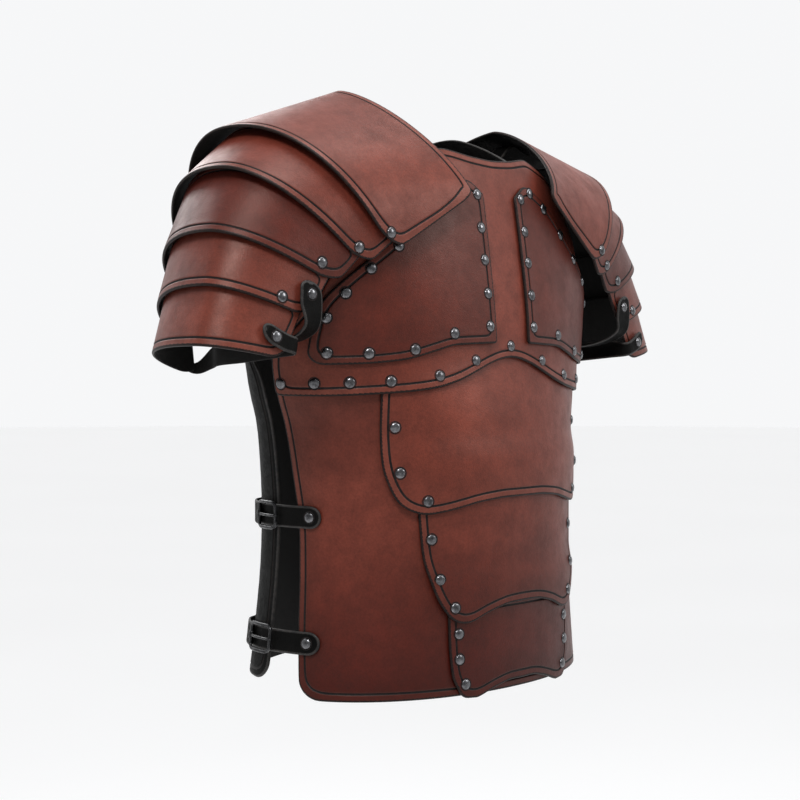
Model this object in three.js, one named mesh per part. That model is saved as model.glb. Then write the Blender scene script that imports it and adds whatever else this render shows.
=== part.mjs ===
// Leather cuirass, worn form: a chest panel over an abdomen panel, a plain back panel, chest and
// belly plates, two pauldrons of five lames, black straps and buckles. Millimetres, +Z up, the
// wearer faces -Y, the wearer's right is -X. The origin lies between the shoulders, at the height
// of the neck opening. Every leather piece is cut flat as an outline and then formed on a surface.
import * as THREE from 'three';
import { mergeVertices } from 'three/addons/utils/BufferGeometryUtils.js';

// ---- driving dimensions -------------------------------------------------------------------------
const LEATHER = 3; // wall of every panel, plate and lame
const STRAP_LEATHER = 2.5;
const STRAP_WIDTH = 21.5;
const SEAM = 0.9; // between pieces that lie on each other: 0.3 and the depth of a facet
const LAYER = LEATHER + SEAM; // one piece lying on another
const RIVET_RADIUS = 4.6;
const RIVET_HEIGHT = 2.4;
const RIVET_SIDES = 6;

const AXIS_Y = -8; // centre of the body's sections
const FLAT_RADIUS = 165; // turns a body angle into a flat width
const HEM_Z = -516;
const BACK_HEM_Z = -503;

// Body sections: half width, depth in front of and behind the axis, and squareness of the oval.
const SECTIONS = [
  { z: -516, half: 197, front: 142, back: 114, power: 2.15 },
  { z: -450, half: 188, front: 141, back: 109, power: 2.15 },
  { z: -400, half: 182, front: 140, back: 107, power: 2.15 },
  { z: -347, half: 179, front: 140, back: 108, power: 2.15 },
  { z: -300, half: 182, front: 139, back: 107, power: 2.15 },
  { z: -260, half: 188, front: 136, back: 106, power: 2.15 },
  { z: -230, half: 197, front: 130, back: 105, power: 2.2 },
  { z: -200, half: 203, front: 124, back: 104, power: 2.25 },
  { z: -160, half: 209, front: 121, back: 104, power: 2.3 },
  { z: -125, half: 212, front: 117, back: 106, power: 2.38 },
  { z: -75, half: 203, front: 110, back: 104, power: 2.38 },
  { z: -42, half: 184, front: 105, back: 100, power: 2.35 },
  { z: -20, half: 166, front: 101, back: 96, power: 2.32 },
  { z: -5, half: 151, front: 97, back: 92, power: 2.3 },
  { z: 10, half: 135, front: 91, back: 87, power: 2.3 },
];

// Pauldron rims, wearer's left: front corner, crown and rear corner of each lame's lower edge.
const RIMS = [
  { front: [162, -130, -104], crown: [247, -4, 15], rear: [175, 104, -111] },
  { front: [184, -116, -118], crown: [288, -30, -28], rear: [191, 93, -137] },
  { front: [212, -106, -134], crown: [313, -45, -87], rear: [210, 78, -163] },
  { front: [241, -101, -163], crown: [325, -55, -135], rear: [228, 70, -193] },
  { front: [267, -96, -199], crown: [338, -58, -187], rear: [230, 64, -215] },
];
// Neck edge of the top lame on each side, drawn for the wearer's left: the left one sits lower.
const NECK_EDGES = {
  left: { front: [68, -137, -36], crown: [126, -15, 47], rear: [90, 120, -38] },
  right: { front: [58, -140, -43], crown: [112, -15, 62], rear: [84, 120, -34] },
};
const NECK_POWER = 1.45; // arc of the top lame's neck edge, 1 is straight and 2 an ellipse
const RIM_POWER = 2.2;
const TUCK = 0.8; // how far down a lame the next one starts
const CROWN_STAND_OFF = 2; // extra room under a lame's crown

// Rivets, wearer's left, as distance from the middle and height.
const PLATE_RIVETS = [
  [33.5, -42], [33.5, -74], [33.5, -105], [33.5, -137], [33.5, -168], [79, -175], [120, -190],
  [158, -193], [184, -192], [187, -160], [177, -138], [158, -117], [132, -96], [104, -73],
  [74, -49], [51, -35],
];
const BELLY_RIVETS = [
  [[135, -262], [131, -304], [109, -331]],
  [[105, -367], [99, -405], [86, -432]],
  [[81, -457], [81, -481], [75, -505]],
];
const HEM_BAND_RIVETS_X = [0, 51, 95, 140, 169, 187.5, 197.8];

const COLOURS = {
  leather: { color: 0x6d3a2c, roughness: 0.5, metalness: 0 },
  strap: { color: 0x14120f, roughness: 0.6, metalness: 0 },
  metal: { color: 0x3c3c3e, roughness: 0.4, metalness: 0.9 },
};

// ---- small helpers ------------------------------------------------------------------------------
const MATERIALS = {};
for (const [name, look] of Object.entries(COLOURS)) {
  MATERIALS[name] = new THREE.MeshStandardMaterial(look);
}
const vec = (list) => new THREE.Vector3(...list);
const smooth = (low, high, value) => THREE.MathUtils.smoothstep(value, low, high);
const flatDegrees = (degrees) => THREE.MathUtils.degToRad(degrees) * FLAT_RADIUS;

// A column of a table at a height, through a smooth cubic.
function column(table, name, z) {
  const last = table.length - 1;
  const height = THREE.MathUtils.clamp(z, table[0].z, table[last].z);
  let row = 0;
  while (row < last - 1 && height > table[row + 1].z) row += 1;
  const slope = (i) => {
    const low = table[Math.max(i - 1, 0)];
    const high = table[Math.min(i + 1, last)];
    return (high[name] - low[name]) / (high.z - low.z);
  };
  const step = table[row + 1].z - table[row].z;
  const t = (height - table[row].z) / step;
  const from = table[row][name];
  const to = table[row + 1][name];
  return from * (1 + 2 * t) * (1 - t) ** 2 + to * (3 - 2 * t) * t ** 2
    + step * t * (1 - t) * (slope(row) * (1 - t) - slope(row + 1) * t);
}

// Moves a surface's point out along its normal. A surface is a function of flat (u, v).
function lifted(surface, u, v, lift) {
  const step = 0.5;
  const along = surface(u + step, v).sub(surface(u - step, v));
  const up = surface(u, v + step).sub(surface(u, v - step));
  return surface(u, v).addScaledVector(along.cross(up).normalize(), lift);
}

// ---- the body's surface -------------------------------------------------------------------------
// u is the angle from the front middle times FLAT_RADIUS, positive to the wearer's left; v is z.
function bodyRadius(angle, z) {
  const across = Math.abs(Math.sin(angle)) / column(SECTIONS, 'half', z);
  const depth = Math.cos(angle) > 0 ? 'front' : 'back';
  const along = Math.abs(Math.cos(angle)) / column(SECTIONS, depth, z);
  const power = column(SECTIONS, 'power', z);
  return (across ** power + along ** power) ** (-1 / power);
}

function body(u, z) {
  const angle = u / FLAT_RADIUS;
  const radius = bodyRadius(angle, z);
  return new THREE.Vector3(radius * Math.sin(angle), AXIS_Y - radius * Math.cos(angle), z);
}

// The flat place of a point on the front (or back) at a distance x from the middle plane.
function flatAt(x, z, onBack = false) {
  let low = 0;
  let high = Math.PI / 2;
  for (let i = 0; i < 30; i += 1) {
    const angle = (low + high) / 2;
    const turned = onBack ? Math.PI - angle : angle;
    if (bodyRadius(turned, z) * Math.sin(turned) < Math.abs(x)) low = angle;
    else high = angle;
  }
  const flat = (onBack ? Math.PI - low : low) * FLAT_RADIUS;
  return [Math.sign(x) * flat, z];
}

// ---- outlines -----------------------------------------------------------------------------------
// A closed outline through corners [u, v, radius], with round corners and even steps.
function outline(corners, step) {
  const points = [];
  const count = corners.length;
  const at = (i) => new THREE.Vector2(...corners[(i + count) % count].slice(0, 2));
  const leaves = [];
  corners.forEach((corner, i) => {
    const here = at(i);
    const before = at(i - 1).sub(here);
    const after = at(i + 1).sub(here);
    const cosine = before.dot(after) / (before.length() * after.length());
    const half = Math.acos(THREE.MathUtils.clamp(cosine, -1, 1)) / 2;
    const room = 0.49 * Math.min(before.length(), after.length());
    const reach = Math.min((corner[2] ?? 0) / Math.tan(half), room);
    const start = here.clone().addScaledVector(before.normalize(), reach);
    const end = here.clone().addScaledVector(after.normalize(), reach);
    const turns = reach > 0.5 ? Math.max(2, Math.ceil((2 * reach) / step) + 1) : 0;
    for (let k = 0; k <= turns; k += 1) {
      const t = turns ? k / turns : 0.5;
      const bend = new THREE.QuadraticBezierCurve(start, here, end).getPoint(t);
      points.push(turns ? bend : here);
    }
    leaves[i] = points.length - 1;
  });
  const closed = [];
  points.forEach((point, i) => {
    closed.push(point);
    if (!leaves.includes(i)) return;
    const next = points[(i + 1) % points.length];
    const parts = Math.max(1, Math.round(point.distanceTo(next) / step));
    for (let k = 1; k < parts; k += 1) closed.push(point.clone().lerp(next, k / parts));
  });
  return THREE.ShapeUtils.area(closed) < 0 ? closed.reverse() : closed;
}

// Both halves of a symmetric piece from the corners of its left half, middle to middle.
function mirrored(half) {
  const other = half.filter(([u]) => Math.abs(u) > 1).map(([u, v, r]) => [-u, v, r]);
  return [...half, ...other.reverse()];
}

function insideOutline(edge, point) {
  let inside = false;
  for (let i = 0, j = edge.length - 1; i < edge.length; j = i, i += 1) {
    const a = edge[i];
    const b = edge[j];
    const crosses = a.y > point.y !== b.y > point.y;
    if (crosses && point.x < ((b.x - a.x) * (point.y - a.y)) / (b.y - a.y) + a.x) inside = !inside;
  }
  return inside;
}

// ---- triangles ----------------------------------------------------------------------------------
function circumcircle(a, b, c) {
  const d = 2 * (a.x * (b.y - c.y) + b.x * (c.y - a.y) + c.x * (a.y - b.y));
  const aa = a.x ** 2 + a.y ** 2;
  const bb = b.x ** 2 + b.y ** 2;
  const cc = c.x ** 2 + c.y ** 2;
  const x = (aa * (b.y - c.y) + bb * (c.y - a.y) + cc * (a.y - b.y)) / d;
  const y = (aa * (c.x - b.x) + bb * (a.x - c.x) + cc * (b.x - a.x)) / d;
  return { x, y, square: (x - a.x) ** 2 + (y - a.y) ** 2 };
}

// Delaunay triangles of the points, by adding one point at a time.
function delaunay(points) {
  const far = 1e5;
  const all = [...points];
  all.push({ x: -far, y: -far }, { x: far, y: -far }, { x: 0, y: far });
  const count = points.length;
  const ring = circumcircle(all[count], all[count + 1], all[count + 2]);
  let triangles = [{ corners: [count, count + 1, count + 2], ring }];
  points.forEach((point, index) => {
    const edges = new Map();
    triangles = triangles.filter((triangle) => {
      const { x, y, square } = triangle.ring;
      if ((point.x - x) ** 2 + (point.y - y) ** 2 >= square) return true;
      const [a, b, c] = triangle.corners;
      for (const [from, to] of [[a, b], [b, c], [c, a]]) {
        if (edges.has(`${to},${from}`)) edges.delete(`${to},${from}`);
        else edges.set(`${from},${to}`, [from, to]);
      }
      return false;
    });
    for (const [from, to] of edges.values()) {
      const circle = circumcircle(all[from], all[to], point);
      triangles.push({ corners: [from, to, index], ring: circle });
    }
  });
  return triangles.map(({ corners }) => corners).filter((c) => Math.max(...c) < count);
}

// Halves each stretch of an outline that a point stands too close to.
function refined(edge, points, spacing) {
  const scale = spacing.u / spacing.v;
  const crowded = (a, b) => points.some((p) => {
    const middle = { x: (a.x + b.x) / 2, y: (a.y + b.y) / 2 };
    const reach = Math.hypot(a.x - b.x, (a.y - b.y) * scale) * 0.52;
    return Math.hypot(p.x - middle.x, (p.y - middle.y) * scale) < reach;
  });
  const result = [];
  edge.forEach((a, i) => {
    const b = edge[(i + 1) % edge.length];
    result.push(a);
    if (crowded(a, b)) result.push(a.clone().lerp(b, 0.5));
  });
  return result.length > edge.length ? refined(result, points, spacing) : edge;
}

// Fills an outline with triangles. Inner points keep clear of the edge and of the rivets.
function fill(edge, extra, rivets, spacing) {
  const points = edge.map((p) => ({ x: p.x, y: p.y }));
  points.push(...extra);
  const box = new THREE.Box2().setFromPoints(edge);
  const clear = 0.55;
  const rows = Math.ceil((box.max.y - box.min.y) / spacing.v);
  for (let row = 0; row <= rows; row += 1) {
    const shift = row % 2 ? 0.25 : -0.25;
    const columns = Math.ceil((box.max.x - box.min.x) / spacing.u);
    for (let i = -1; i <= columns + 1; i += 1) {
      const wobble = 0.004 * Math.sin(7 * i + 3 * row);
      const x = (box.min.x + box.max.x) / 2 + (i - columns / 2 + shift + wobble) * spacing.u;
      const y = box.min.y + (row + 0.5 + wobble) * spacing.v;
      const near = (p, reach) => Math.hypot((p.x - x) / spacing.u, (p.y - y) / spacing.v) < reach;
      const apart = (r) => Math.hypot(r.x - x, r.y - y) > 1.9 * RIVET_RADIUS;
      if (!insideOutline(edge, { x, y }) || edge.some((p) => near(p, clear))) continue;
      if (rivets.every(apart)) points.push({ x, y });
    }
  }
  const scale = spacing.u / spacing.v;
  const even = points.map((p) => ({ x: p.x, y: p.y * scale }));
  const kept = delaunay(even).filter((corners) => {
    const [a, b, c] = corners.map((i) => points[i]);
    const middle = { x: (a.x + b.x + c.x) / 3, y: (a.y + b.y + c.y) / 3 };
    const area = Math.abs((b.x - a.x) * (c.y - a.y) - (c.x - a.x) * (b.y - a.y)) / 2;
    return area > 1e-6 && insideOutline(edge, middle);
  });
  const signed = kept.map(([i, j, k]) => {
    const [a, b, c] = [points[i], points[j], points[k]];
    const turn = (b.x - a.x) * (c.y - a.y) - (c.x - a.x) * (b.y - a.y);
    return turn > 0 ? [i, j, k] : [i, k, j];
  });
  return { points, triangles: signed };
}

// Six points around a rivet head, a smaller ring above them and the top.
function rivetPoints(surface, rivet) {
  const scaleU = surface(rivet.x + 0.5, rivet.y).distanceTo(surface(rivet.x - 0.5, rivet.y));
  const scaleV = surface(rivet.x, rivet.y + 0.5).distanceTo(surface(rivet.x, rivet.y - 0.5));
  const points = [];
  for (const [share, rise] of [[1, 0], [0.72, 0.75]]) {
    for (let i = 0; i < RIVET_SIDES; i += 1) {
      const angle = ((i + rise) / RIVET_SIDES) * 2 * Math.PI;
      const x = rivet.x + (Math.cos(angle) * share * RIVET_RADIUS) / scaleU;
      const y = rivet.y + (Math.sin(angle) * share * RIVET_RADIUS) / scaleV;
      points.push({ x, y, rise: rise * RIVET_HEIGHT });
    }
  }
  points.push({ x: rivet.x, y: rivet.y, rise: RIVET_HEIGHT });
  return points;
}

// A closed wall of leather: the outline formed on a surface, from the lift of its inner face to
// the lift of its outer face, with rivet heads raised on the outer face.
function formed(name, piece) {
  const { surface, inner, outer, spacing, look = 'leather' } = piece;
  const rivets = (piece.rivets ?? []).map(([x, y]) => ({ x, y }));
  const heads = rivets.flatMap((rivet) => rivetPoints(surface, rivet));
  const edge = refined(piece.edge, heads, spacing);
  const front = fill(edge, heads, rivets, spacing);
  const rear = fill(edge, [], [], spacing);
  const positions = [];
  const indices = [];
  const add = (p, lift) => {
    const height = typeof lift === 'function' ? lift(p.x, p.y) : lift;
    positions.push(...lifted(surface, p.x, p.y, height + (p.rise ?? 0)).toArray());
  };
  front.points.forEach((p) => add(p, outer));
  rear.points.forEach((p) => add(p, inner));
  const offset = front.points.length;
  front.triangles.forEach(([a, b, c]) => indices.push(a, b, c));
  rear.triangles.forEach(([a, b, c]) => indices.push(offset + a, offset + c, offset + b));
  edge.forEach((point, i) => {
    const next = (i + 1) % edge.length;
    indices.push(i, offset + i, next, next, offset + i, offset + next);
  });
  return solid(name, positions, indices, look);
}

// Turns the triangles so that they face out, and makes the named mesh.
function solid(name, positions, indices, look) {
  const corner = (i) => new THREE.Vector3().fromArray(positions, 3 * indices[i]);
  let volume = 0;
  for (let i = 0; i < indices.length; i += 3) {
    volume += corner(i).dot(corner(i + 1).cross(corner(i + 2)));
  }
  if (volume < 0) indices.reverse();
  const geometry = new THREE.BufferGeometry();
  geometry.setAttribute('position', new THREE.Float32BufferAttribute(positions, 3));
  geometry.setIndex(indices);
  geometry.computeVertexNormals();
  const mesh = new THREE.Mesh(geometry, MATERIALS[look]);
  mesh.name = name;
  return mesh;
}

// ---- body panels --------------------------------------------------------------------------------
const BODY_SPACING = { u: 16, v: 28 };
const BODY_STEP = 17;
const SIDES = [{ name: 'right', sign: -1 }, { name: 'left', sign: 1 }];

// Lower edge of the chest panel: level at the sides, a soft peak in the middle.
const WAVE_LEVEL = -231;
const WAVE_PEAK = 33.5;
const WAVE_WIDTH = 68;
const waveAt = (x) => WAVE_LEVEL + WAVE_PEAK * Math.exp(-((x / WAVE_WIDTH) ** 2));
const WAVE_X = [0, 15, 32, 51, 72, 95, 120, 145];
const CHEST_SIDE = flatDegrees(86.5);

function waveCorners(raise, xs = WAVE_X) {
  return xs.map((x) => [...flatAt(x, waveAt(x) + raise), 12]);
}

function chestPanel() {
  const half = [
    ...waveCorners(0),
    [...flatAt(175, -232), 10],
    [CHEST_SIDE, -231, 5],
    [CHEST_SIDE, -185, 25],
    [...flatAt(199, -150), 30],
    [...flatAt(186, -110), 30],
    [...flatAt(158, -60), 25],
    [...flatAt(132, -16), 5],
    [...flatAt(63, 1), 6],
    [...flatAt(30, -4), 20],
    [0, -6, 0],
  ];
  const rivets = HEM_BAND_RIVETS_X.flatMap((x) => {
    const [u, v] = flatAt(x, waveAt(x) + 11);
    return x ? [[u, v], [-u, v]] : [[u, v]];
  });
  return formed('chest_panel', {
    edge: outline(mirrored(half), BODY_STEP),
    surface: body,
    inner: LAYER + SEAM,
    outer: LAYER + SEAM + LEATHER,
    spacing: BODY_SPACING,
    rivets,
  });
}

// Side edge of the front panel from the hem up: degrees from the middle, height, corner radius.
const FRONT_SIDE = [
  [80.8, HEM_Z, 22], [82.8, -450, 60], [83.6, -405, 60], [84.7, -350, 60], [86.5, -308, 60],
  [88.2, -240, 40], [88.2, -205, 8],
];

function frontPanel() {
  const half = [
    [0, HEM_Z, 0],
    ...FRONT_SIDE.map(([degrees, z, r]) => [flatDegrees(degrees), z, r]),
    ...waveCorners(34, [145, 95, 51, 15]),
    [0, waveAt(0) + 34, 0],
  ];
  return formed('front_panel', {
    edge: outline(mirrored(half), BODY_STEP),
    surface: body,
    inner: -LEATHER,
    outer: 0,
    spacing: BODY_SPACING,
  });
}

const BACK_SIDE = flatDegrees(93);
const BACK_MIDDLE = Math.PI * FLAT_RADIUS;

function backPanel() {
  const back = (x, z, r) => [...flatAt(x, z, true), r];
  const half = [
    [BACK_SIDE, BACK_HEM_Z, 18],
    [BACK_SIDE, -215, 12],
    back(197, -170, 30),
    back(184, -110, 30),
    back(158, -60, 25),
    back(132, -16, 5),
    back(63, 1, 6),
    back(30, -6, 20),
  ];
  const other = half.map(([u, v, r]) => [2 * BACK_MIDDLE - u, v, r]).reverse();
  return formed('back_panel', {
    edge: outline([...half, ...other], BODY_STEP),
    surface: body,
    inner: -LEATHER,
    outer: 0,
    spacing: { u: 20, v: 30 },
    look: 'strap',
  });
}

// ---- plates on the chest and belly ---------------------------------------------------------------
const PLATE_CORNERS = [
  [24, -41, 4], [44, -26, 8], [82, -44, 15], [150, -101, 12], [187, -137, 10], [193, -150, 8],
  [193, -203, 12], [158, -203, 20], [127, -200, 15], [100, -192, 15], [80, -186, 12], [24, -184, 4],
];

function chestPlate({ name, sign }) {
  const place = ([x, z, r]) => [sign * flatAt(x, z)[0], z, r];
  return formed(`chest_plate_${name}`, {
    edge: outline(PLATE_CORNERS.map(place), 14),
    surface: body,
    inner: 2 * LAYER + SEAM,
    outer: 2 * LAYER + SEAM + LEATHER,
    spacing: { u: 15, v: 24 },
    rivets: PLATE_RIVETS.map(place),
  });
}

// Belly plates, wearer's left half. Each lies over the next one's top: its lift rises between
// two heights.
const BELLY_PLATES = [
  {
    name: 'upper',
    corners: [
      [0, -331, 0], [30, -331, 15], [60, -334, 20], [85, -340, 15], [112, -345, 10],
      [132, -336, 14], [144, -300, 25], [146, -262, 20], [146, -213, 6],
    ],
    top: (x) => waveAt(x) + 18,
    topX: [95, 51, 15, 0],
    rise: [-296, -266],
  },
  {
    name: 'middle',
    corners: [
      [0, -432, 0], [25, -433, 15], [50, -439, 20], [72, -449, 12], [90, -446, 10],
      [104, -420, 25], [113, -385, 30], [116, -340, 20], [116, -309, 8],
    ],
    top: () => -309,
    topX: [0],
    rise: [-414, -384],
  },
  {
    name: 'lower',
    corners: [
      [0, -508, 0], [18, -507, 12], [40, -512, 18], [60, -519, 12], [78, -518, 12],
      [89, -498, 14], [91, -470, 20], [91, -428, 8],
    ],
    top: () => -428,
    topX: [0],
    rise: null,
  },
];

function bellyPlate(row, index) {
  const place = ([x, z, r]) => [flatAt(x, z)[0], z, r];
  const half = [
    ...row.corners.map(place),
    ...row.topX.map((x) => [...flatAt(x, row.top(x)), x ? 10 : 0]),
  ];
  const lift = (u, z) => SEAM + (row.rise ? LAYER * (1 - smooth(...row.rise, z)) : 0);
  const rivets = BELLY_RIVETS[index].map(([x, z]) => flatAt(x, z));
  return formed(`belly_plate_${row.name}`, {
    edge: outline(mirrored(half), 17),
    surface: body,
    inner: lift,
    outer: (u, z) => lift(u, z) + LEATHER,
    spacing: { u: 16, v: 26 },
    rivets: [...rivets, ...rivets.map(([u, v]) => [-u, v])],
  });
}

// ---- pauldrons ----------------------------------------------------------------------------------
// A point of an arched edge: share 0 is the front end, 0.5 the crown and 1 the rear end.
function archPoint(arch, power, share) {
  const rear = share > 0.5;
  const end = vec(rear ? arch.rear : arch.front);
  const crown = vec(arch.crown);
  const centre = new THREE.Vector3(end.x, crown.y, end.z);
  const turn = Math.abs(share - 0.5) * Math.PI;
  const rise = Math.max(Math.cos(turn), 0) ** (2 / power);
  const reach = Math.sin(turn) ** (2 / power);
  return centre.clone().addScaledVector(crown.sub(centre), rise)
    .addScaledVector(end.sub(centre), reach);
}

const LAME_LENGTHS = [330, 330, 300, 260, 250]; // flat lengths and widths of the five lames
const LAME_WIDTHS = [125, 62, 66, 62, 66];
// Corner radii, and the rivet near each rim corner; the arm strap's tab takes its place on the last.
const LAME_CORNERS = [
  { tip: 16, corner: 18, rivets: [[11, 10]] }, { tip: 8, corner: 18, rivets: [[13, 10.5]] },
  { tip: 8, corner: 20, rivets: [[20, 16]] }, { tip: 8, corner: 16, rivets: [[30, 10]] },
  { tip: 8, corner: 14, rivets: [] },
];

// Surface of a lame, ruled between its upper arc and its rim: u runs from end to end, v from the
// rim up. The next lame's upper arc lies inside it, TUCK of the way down. The side picks the neck
// edge; the surface is drawn for the wearer's left, and a sign of -1 turns it to the right.
function lameSurface(index, side, sign = 1) {
  const length = LAME_LENGTHS[index];
  const width = LAME_WIDTHS[index];
  const upper = (share) => {
    if (index === 0) return archPoint(NECK_EDGES[side], NECK_POWER, share);
    const above = lameSurface(index - 1, side);
    const u = (0.02 + 0.96 * share) * LAME_LENGTHS[index - 1];
    const room = LAYER + CROWN_STAND_OFF * Math.sin(Math.PI * share);
    return lifted(above, u, (1 - TUCK) * LAME_WIDTHS[index - 1], -room);
  };
  const ruled = (share, v) => {
    return archPoint(RIMS[index], RIM_POWER, share).lerp(upper(share), v / width);
  };
  return (u, v) => {
    const along = sign > 0 ? u / length : 1 - u / length;
    const share = THREE.MathUtils.clamp(along, 0, 1);
    const over = along - share;
    const point = ruled(share, v);
    if (over) {
      const back = Math.sign(over) * 0.01;
      const near = ruled(share - back, v);
      point.addScaledVector(point.clone().sub(near), over / back);
    }
    point.x *= sign;
    return point;
  };
}

function lame(index, { name, sign }) {
  const length = LAME_LENGTHS[index];
  const width = LAME_WIDTHS[index];
  const { tip, corner, rivets } = LAME_CORNERS[index];
  const corners = [
    [0, 0, corner], [length, 0, corner], [length, width, tip], [0, width, tip],
  ];
  return formed(`lame_${index + 1}_${name}`, {
    edge: outline(corners, 17),
    surface: lameSurface(index, name, sign),
    inner: -LEATHER,
    outer: 0,
    spacing: { u: 17, v: 24 },
    rivets: rivets.flatMap(([u, v]) => [[u, v], [length - u, v]]),
  });
}

// ---- straps -------------------------------------------------------------------------------------
// A straight strap with round ends on a surface.
function strap(name, { surface, from, to, middle, width, round, rivets, inner, outer }) {
  const low = middle - width / 2;
  const high = middle + width / 2;
  const corners = [[from, low, round], [to, low, round], [to, high, round], [from, high, round]];
  return formed(name, {
    edge: outline(corners, 11),
    surface,
    inner: inner ?? SEAM,
    outer: outer ?? SEAM + STRAP_LEATHER,
    spacing: { u: 11, v: 14 },
    rivets,
    look: 'strap',
  });
}

// A surface ruled between two edge curves, and its mirror image for the wearer's right.
function ruledStrap(sign, length, width, low, high) {
  return (u, v) => {
    const share = THREE.MathUtils.clamp(u / length, 0, 1);
    const across = sign > 0 ? v / width : 1 - v / width;
    const point = low.getPointAt(share).lerp(high.getPointAt(share), across);
    point.x *= sign;
    return point;
  };
}

// Shoulder straps, from under the chest panel over the shoulder to the outside of the back panel.
const SHOULDER = { inner: 64, outer: 128, length: 250 };
const SHOULDER_SEAM = { bottom: -50, middle: -32, frontTop: -14, backTop: [5, -12] };
const SHOULDER_LIFT = { front: -1.2, back: 1.6 }; // inside the chest panel, outside the back panel
const RIDGE = { y: -10, inner: 30, outer: 7 };

function shoulderSurface(sign) {
  const width = SHOULDER.outer - SHOULDER.inner;
  return (u, v) => {
    const across = sign > 0 ? 1 - v / width : v / width;
    const x = sign * THREE.MathUtils.lerp(SHOULDER.inner, SHOULDER.outer, across);
    const ridgeZ = THREE.MathUtils.lerp(RIDGE.inner, RIDGE.outer, across);
    const { bottom, middle, frontTop, backTop } = SHOULDER_SEAM;
    const behind = THREE.MathUtils.lerp(...backTop, across);
    const front = [bottom, middle, frontTop].map((z) => body(...flatAt(x, z)));
    const back = [behind, middle, bottom].map((z) => body(...flatAt(x, z, true)));
    const path = new THREE.CatmullRomCurve3([...front, vec([x, RIDGE.y, ridgeZ]), ...back]);
    return path.getPointAt(THREE.MathUtils.clamp(u / SHOULDER.length, 0, 1));
  };
}

function shoulderStrap({ name, sign }) {
  const width = SHOULDER.outer - SHOULDER.inner;
  const end = SHOULDER.length - 14;
  const corners = [
    [0, 0, 12], [SHOULDER.length, 0, 12], [SHOULDER.length, width, 12], [0, width, 12],
  ];
  const { front, back } = SHOULDER_LIFT;
  const lift = (u) => THREE.MathUtils.lerp(front, back, smooth(0.35, 0.65, u / SHOULDER.length));
  return formed(`shoulder_strap_${name}`, {
    edge: outline(corners, 15),
    surface: shoulderSurface(sign),
    inner: lift,
    outer: (u) => lift(u) + STRAP_LEATHER,
    spacing: { u: 15, v: 26 },
    rivets: [[end, 14], [end, width - 14]],
    look: 'strap',
  });
}

// Hangers, from the shoulder strap's top out to the underside of the first lame.
const HANGER = { width: 30, length: 92, strapX: [98, 110, 122], lameV: [96, 80, 64], room: 1.2 };

function hangerEdge(side, across) {
  const onStrap = HANGER.strapX.map((x) => {
    const v = SHOULDER.outer - x;
    return lifted(shoulderSurface(1), SHOULDER.length / 2 + across, v, LAYER + HANGER.room);
  });
  const under = lameSurface(0, side);
  const onLame = HANGER.lameV.map((v) => {
    return lifted(under, LAME_LENGTHS[0] / 2 + across, v, -LAYER - HANGER.room - STRAP_LEATHER);
  });
  return new THREE.CatmullRomCurve3([...onStrap, ...onLame]);
}

function hanger({ name, sign }) {
  const { width, length } = HANGER;
  const edges = [-width / 2, width / 2].map((across) => hangerEdge(name, across));
  return strap(`pauldron_hanger_${name}`, {
    surface: ruledStrap(sign, length, width, ...edges),
    from: 0,
    to: length,
    middle: width / 2,
    width,
    round: 5,
    rivets: [],
    inner: 0,
    outer: STRAP_LEATHER,
  });
}

// Arm straps close a lame under the arm. Both tabs lie on the outside of the lame near its ends,
// as flat [u, v] places on it; the points under the arm between them hang free. The leans and
// `across` lead from the strap's middle to its edge.
const TAB_LIFT = 2.7;
const ARM_STRAPS = [
  {
    name: 'upper',
    lame: 3,
    front: [[15, 39], [10, 28], [5, 14]],
    frontLean: [9, -3.5],
    under: [[239, -104, -166], [236.5, -96.5, -173], [233, -72, -181], [230, -25, -184],
      [221, 25, -181], [203, 58, -177]],
    across: [10, 0, 0],
    rear: [[-4, 27], [7, 27], [20, 27], [33, 27]],
    rearLean: [0, -10],
    length: 320,
  },
  {
    name: 'lower',
    lame: 4,
    front: [[34, 26], [20, 22], [7, 19], [-4, 18]],
    frontLean: [-2, -10],
    under: [[253, -80, -187], [247, -25, -192], [235, 25, -195], [221, 50, -198]],
    across: [0, 0, -10],
    rear: [[-4, 18], [7, 19], [20, 22], [34, 26]],
    rearLean: [0, -10],
    length: 240,
  },
];
const TAB_RIVET = 13;

function armStrap(row, { name, sign }) {
  const surface = lameSurface(row.lame, name);
  const end = LAME_LENGTHS[row.lame];
  const edgeCurve = (share) => {
    const on = (u, v, [du, dv]) => lifted(surface, u + share * du, v + share * dv, TAB_LIFT);
    const front = row.front.map(([u, v]) => on(u, v, row.frontLean));
    const rear = row.rear.map(([u, v]) => on(end - u, v, row.rearLean));
    const between = row.under.map((point) => vec(point).addScaledVector(vec(row.across), share));
    return new THREE.CatmullRomCurve3([...front, ...between, ...rear]);
  };
  return strap(`arm_strap_${row.name}_${name}`, {
    surface: ruledStrap(sign, row.length, STRAP_WIDTH, edgeCurve(-1), edgeCurve(1)),
    from: 0,
    to: row.length,
    middle: STRAP_WIDTH / 2,
    width: STRAP_WIDTH,
    round: 9,
    rivets: [[TAB_RIVET, STRAP_WIDTH / 2], [row.length - TAB_RIVET, STRAP_WIDTH / 2]],
    inner: 0,
    outer: STRAP_LEATHER,
  });
}

// ---- side straps and their buckles ---------------------------------------------------------------
// Degrees round the body from the front middle: ends of the strap, its rivet, the buckle's frame
// and the strap behind it that covers the tail and is riveted to the back panel.
const SIDE_STRAPS = [
  { name: 'upper', z: -347, tab: 76.2, rivet: 80, frame: [91.5, 102], tail: 111, anchor: 128 },
  { name: 'lower', z: -464, tab: 75, rivet: 79, frame: [90.5, 101.5], tail: 110.5, anchor: 127 },
];
const FRAME = { height: 28, bar: 3.4, thick: 3, corner: 5, prong: 3.2, lift: 5 };

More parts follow.
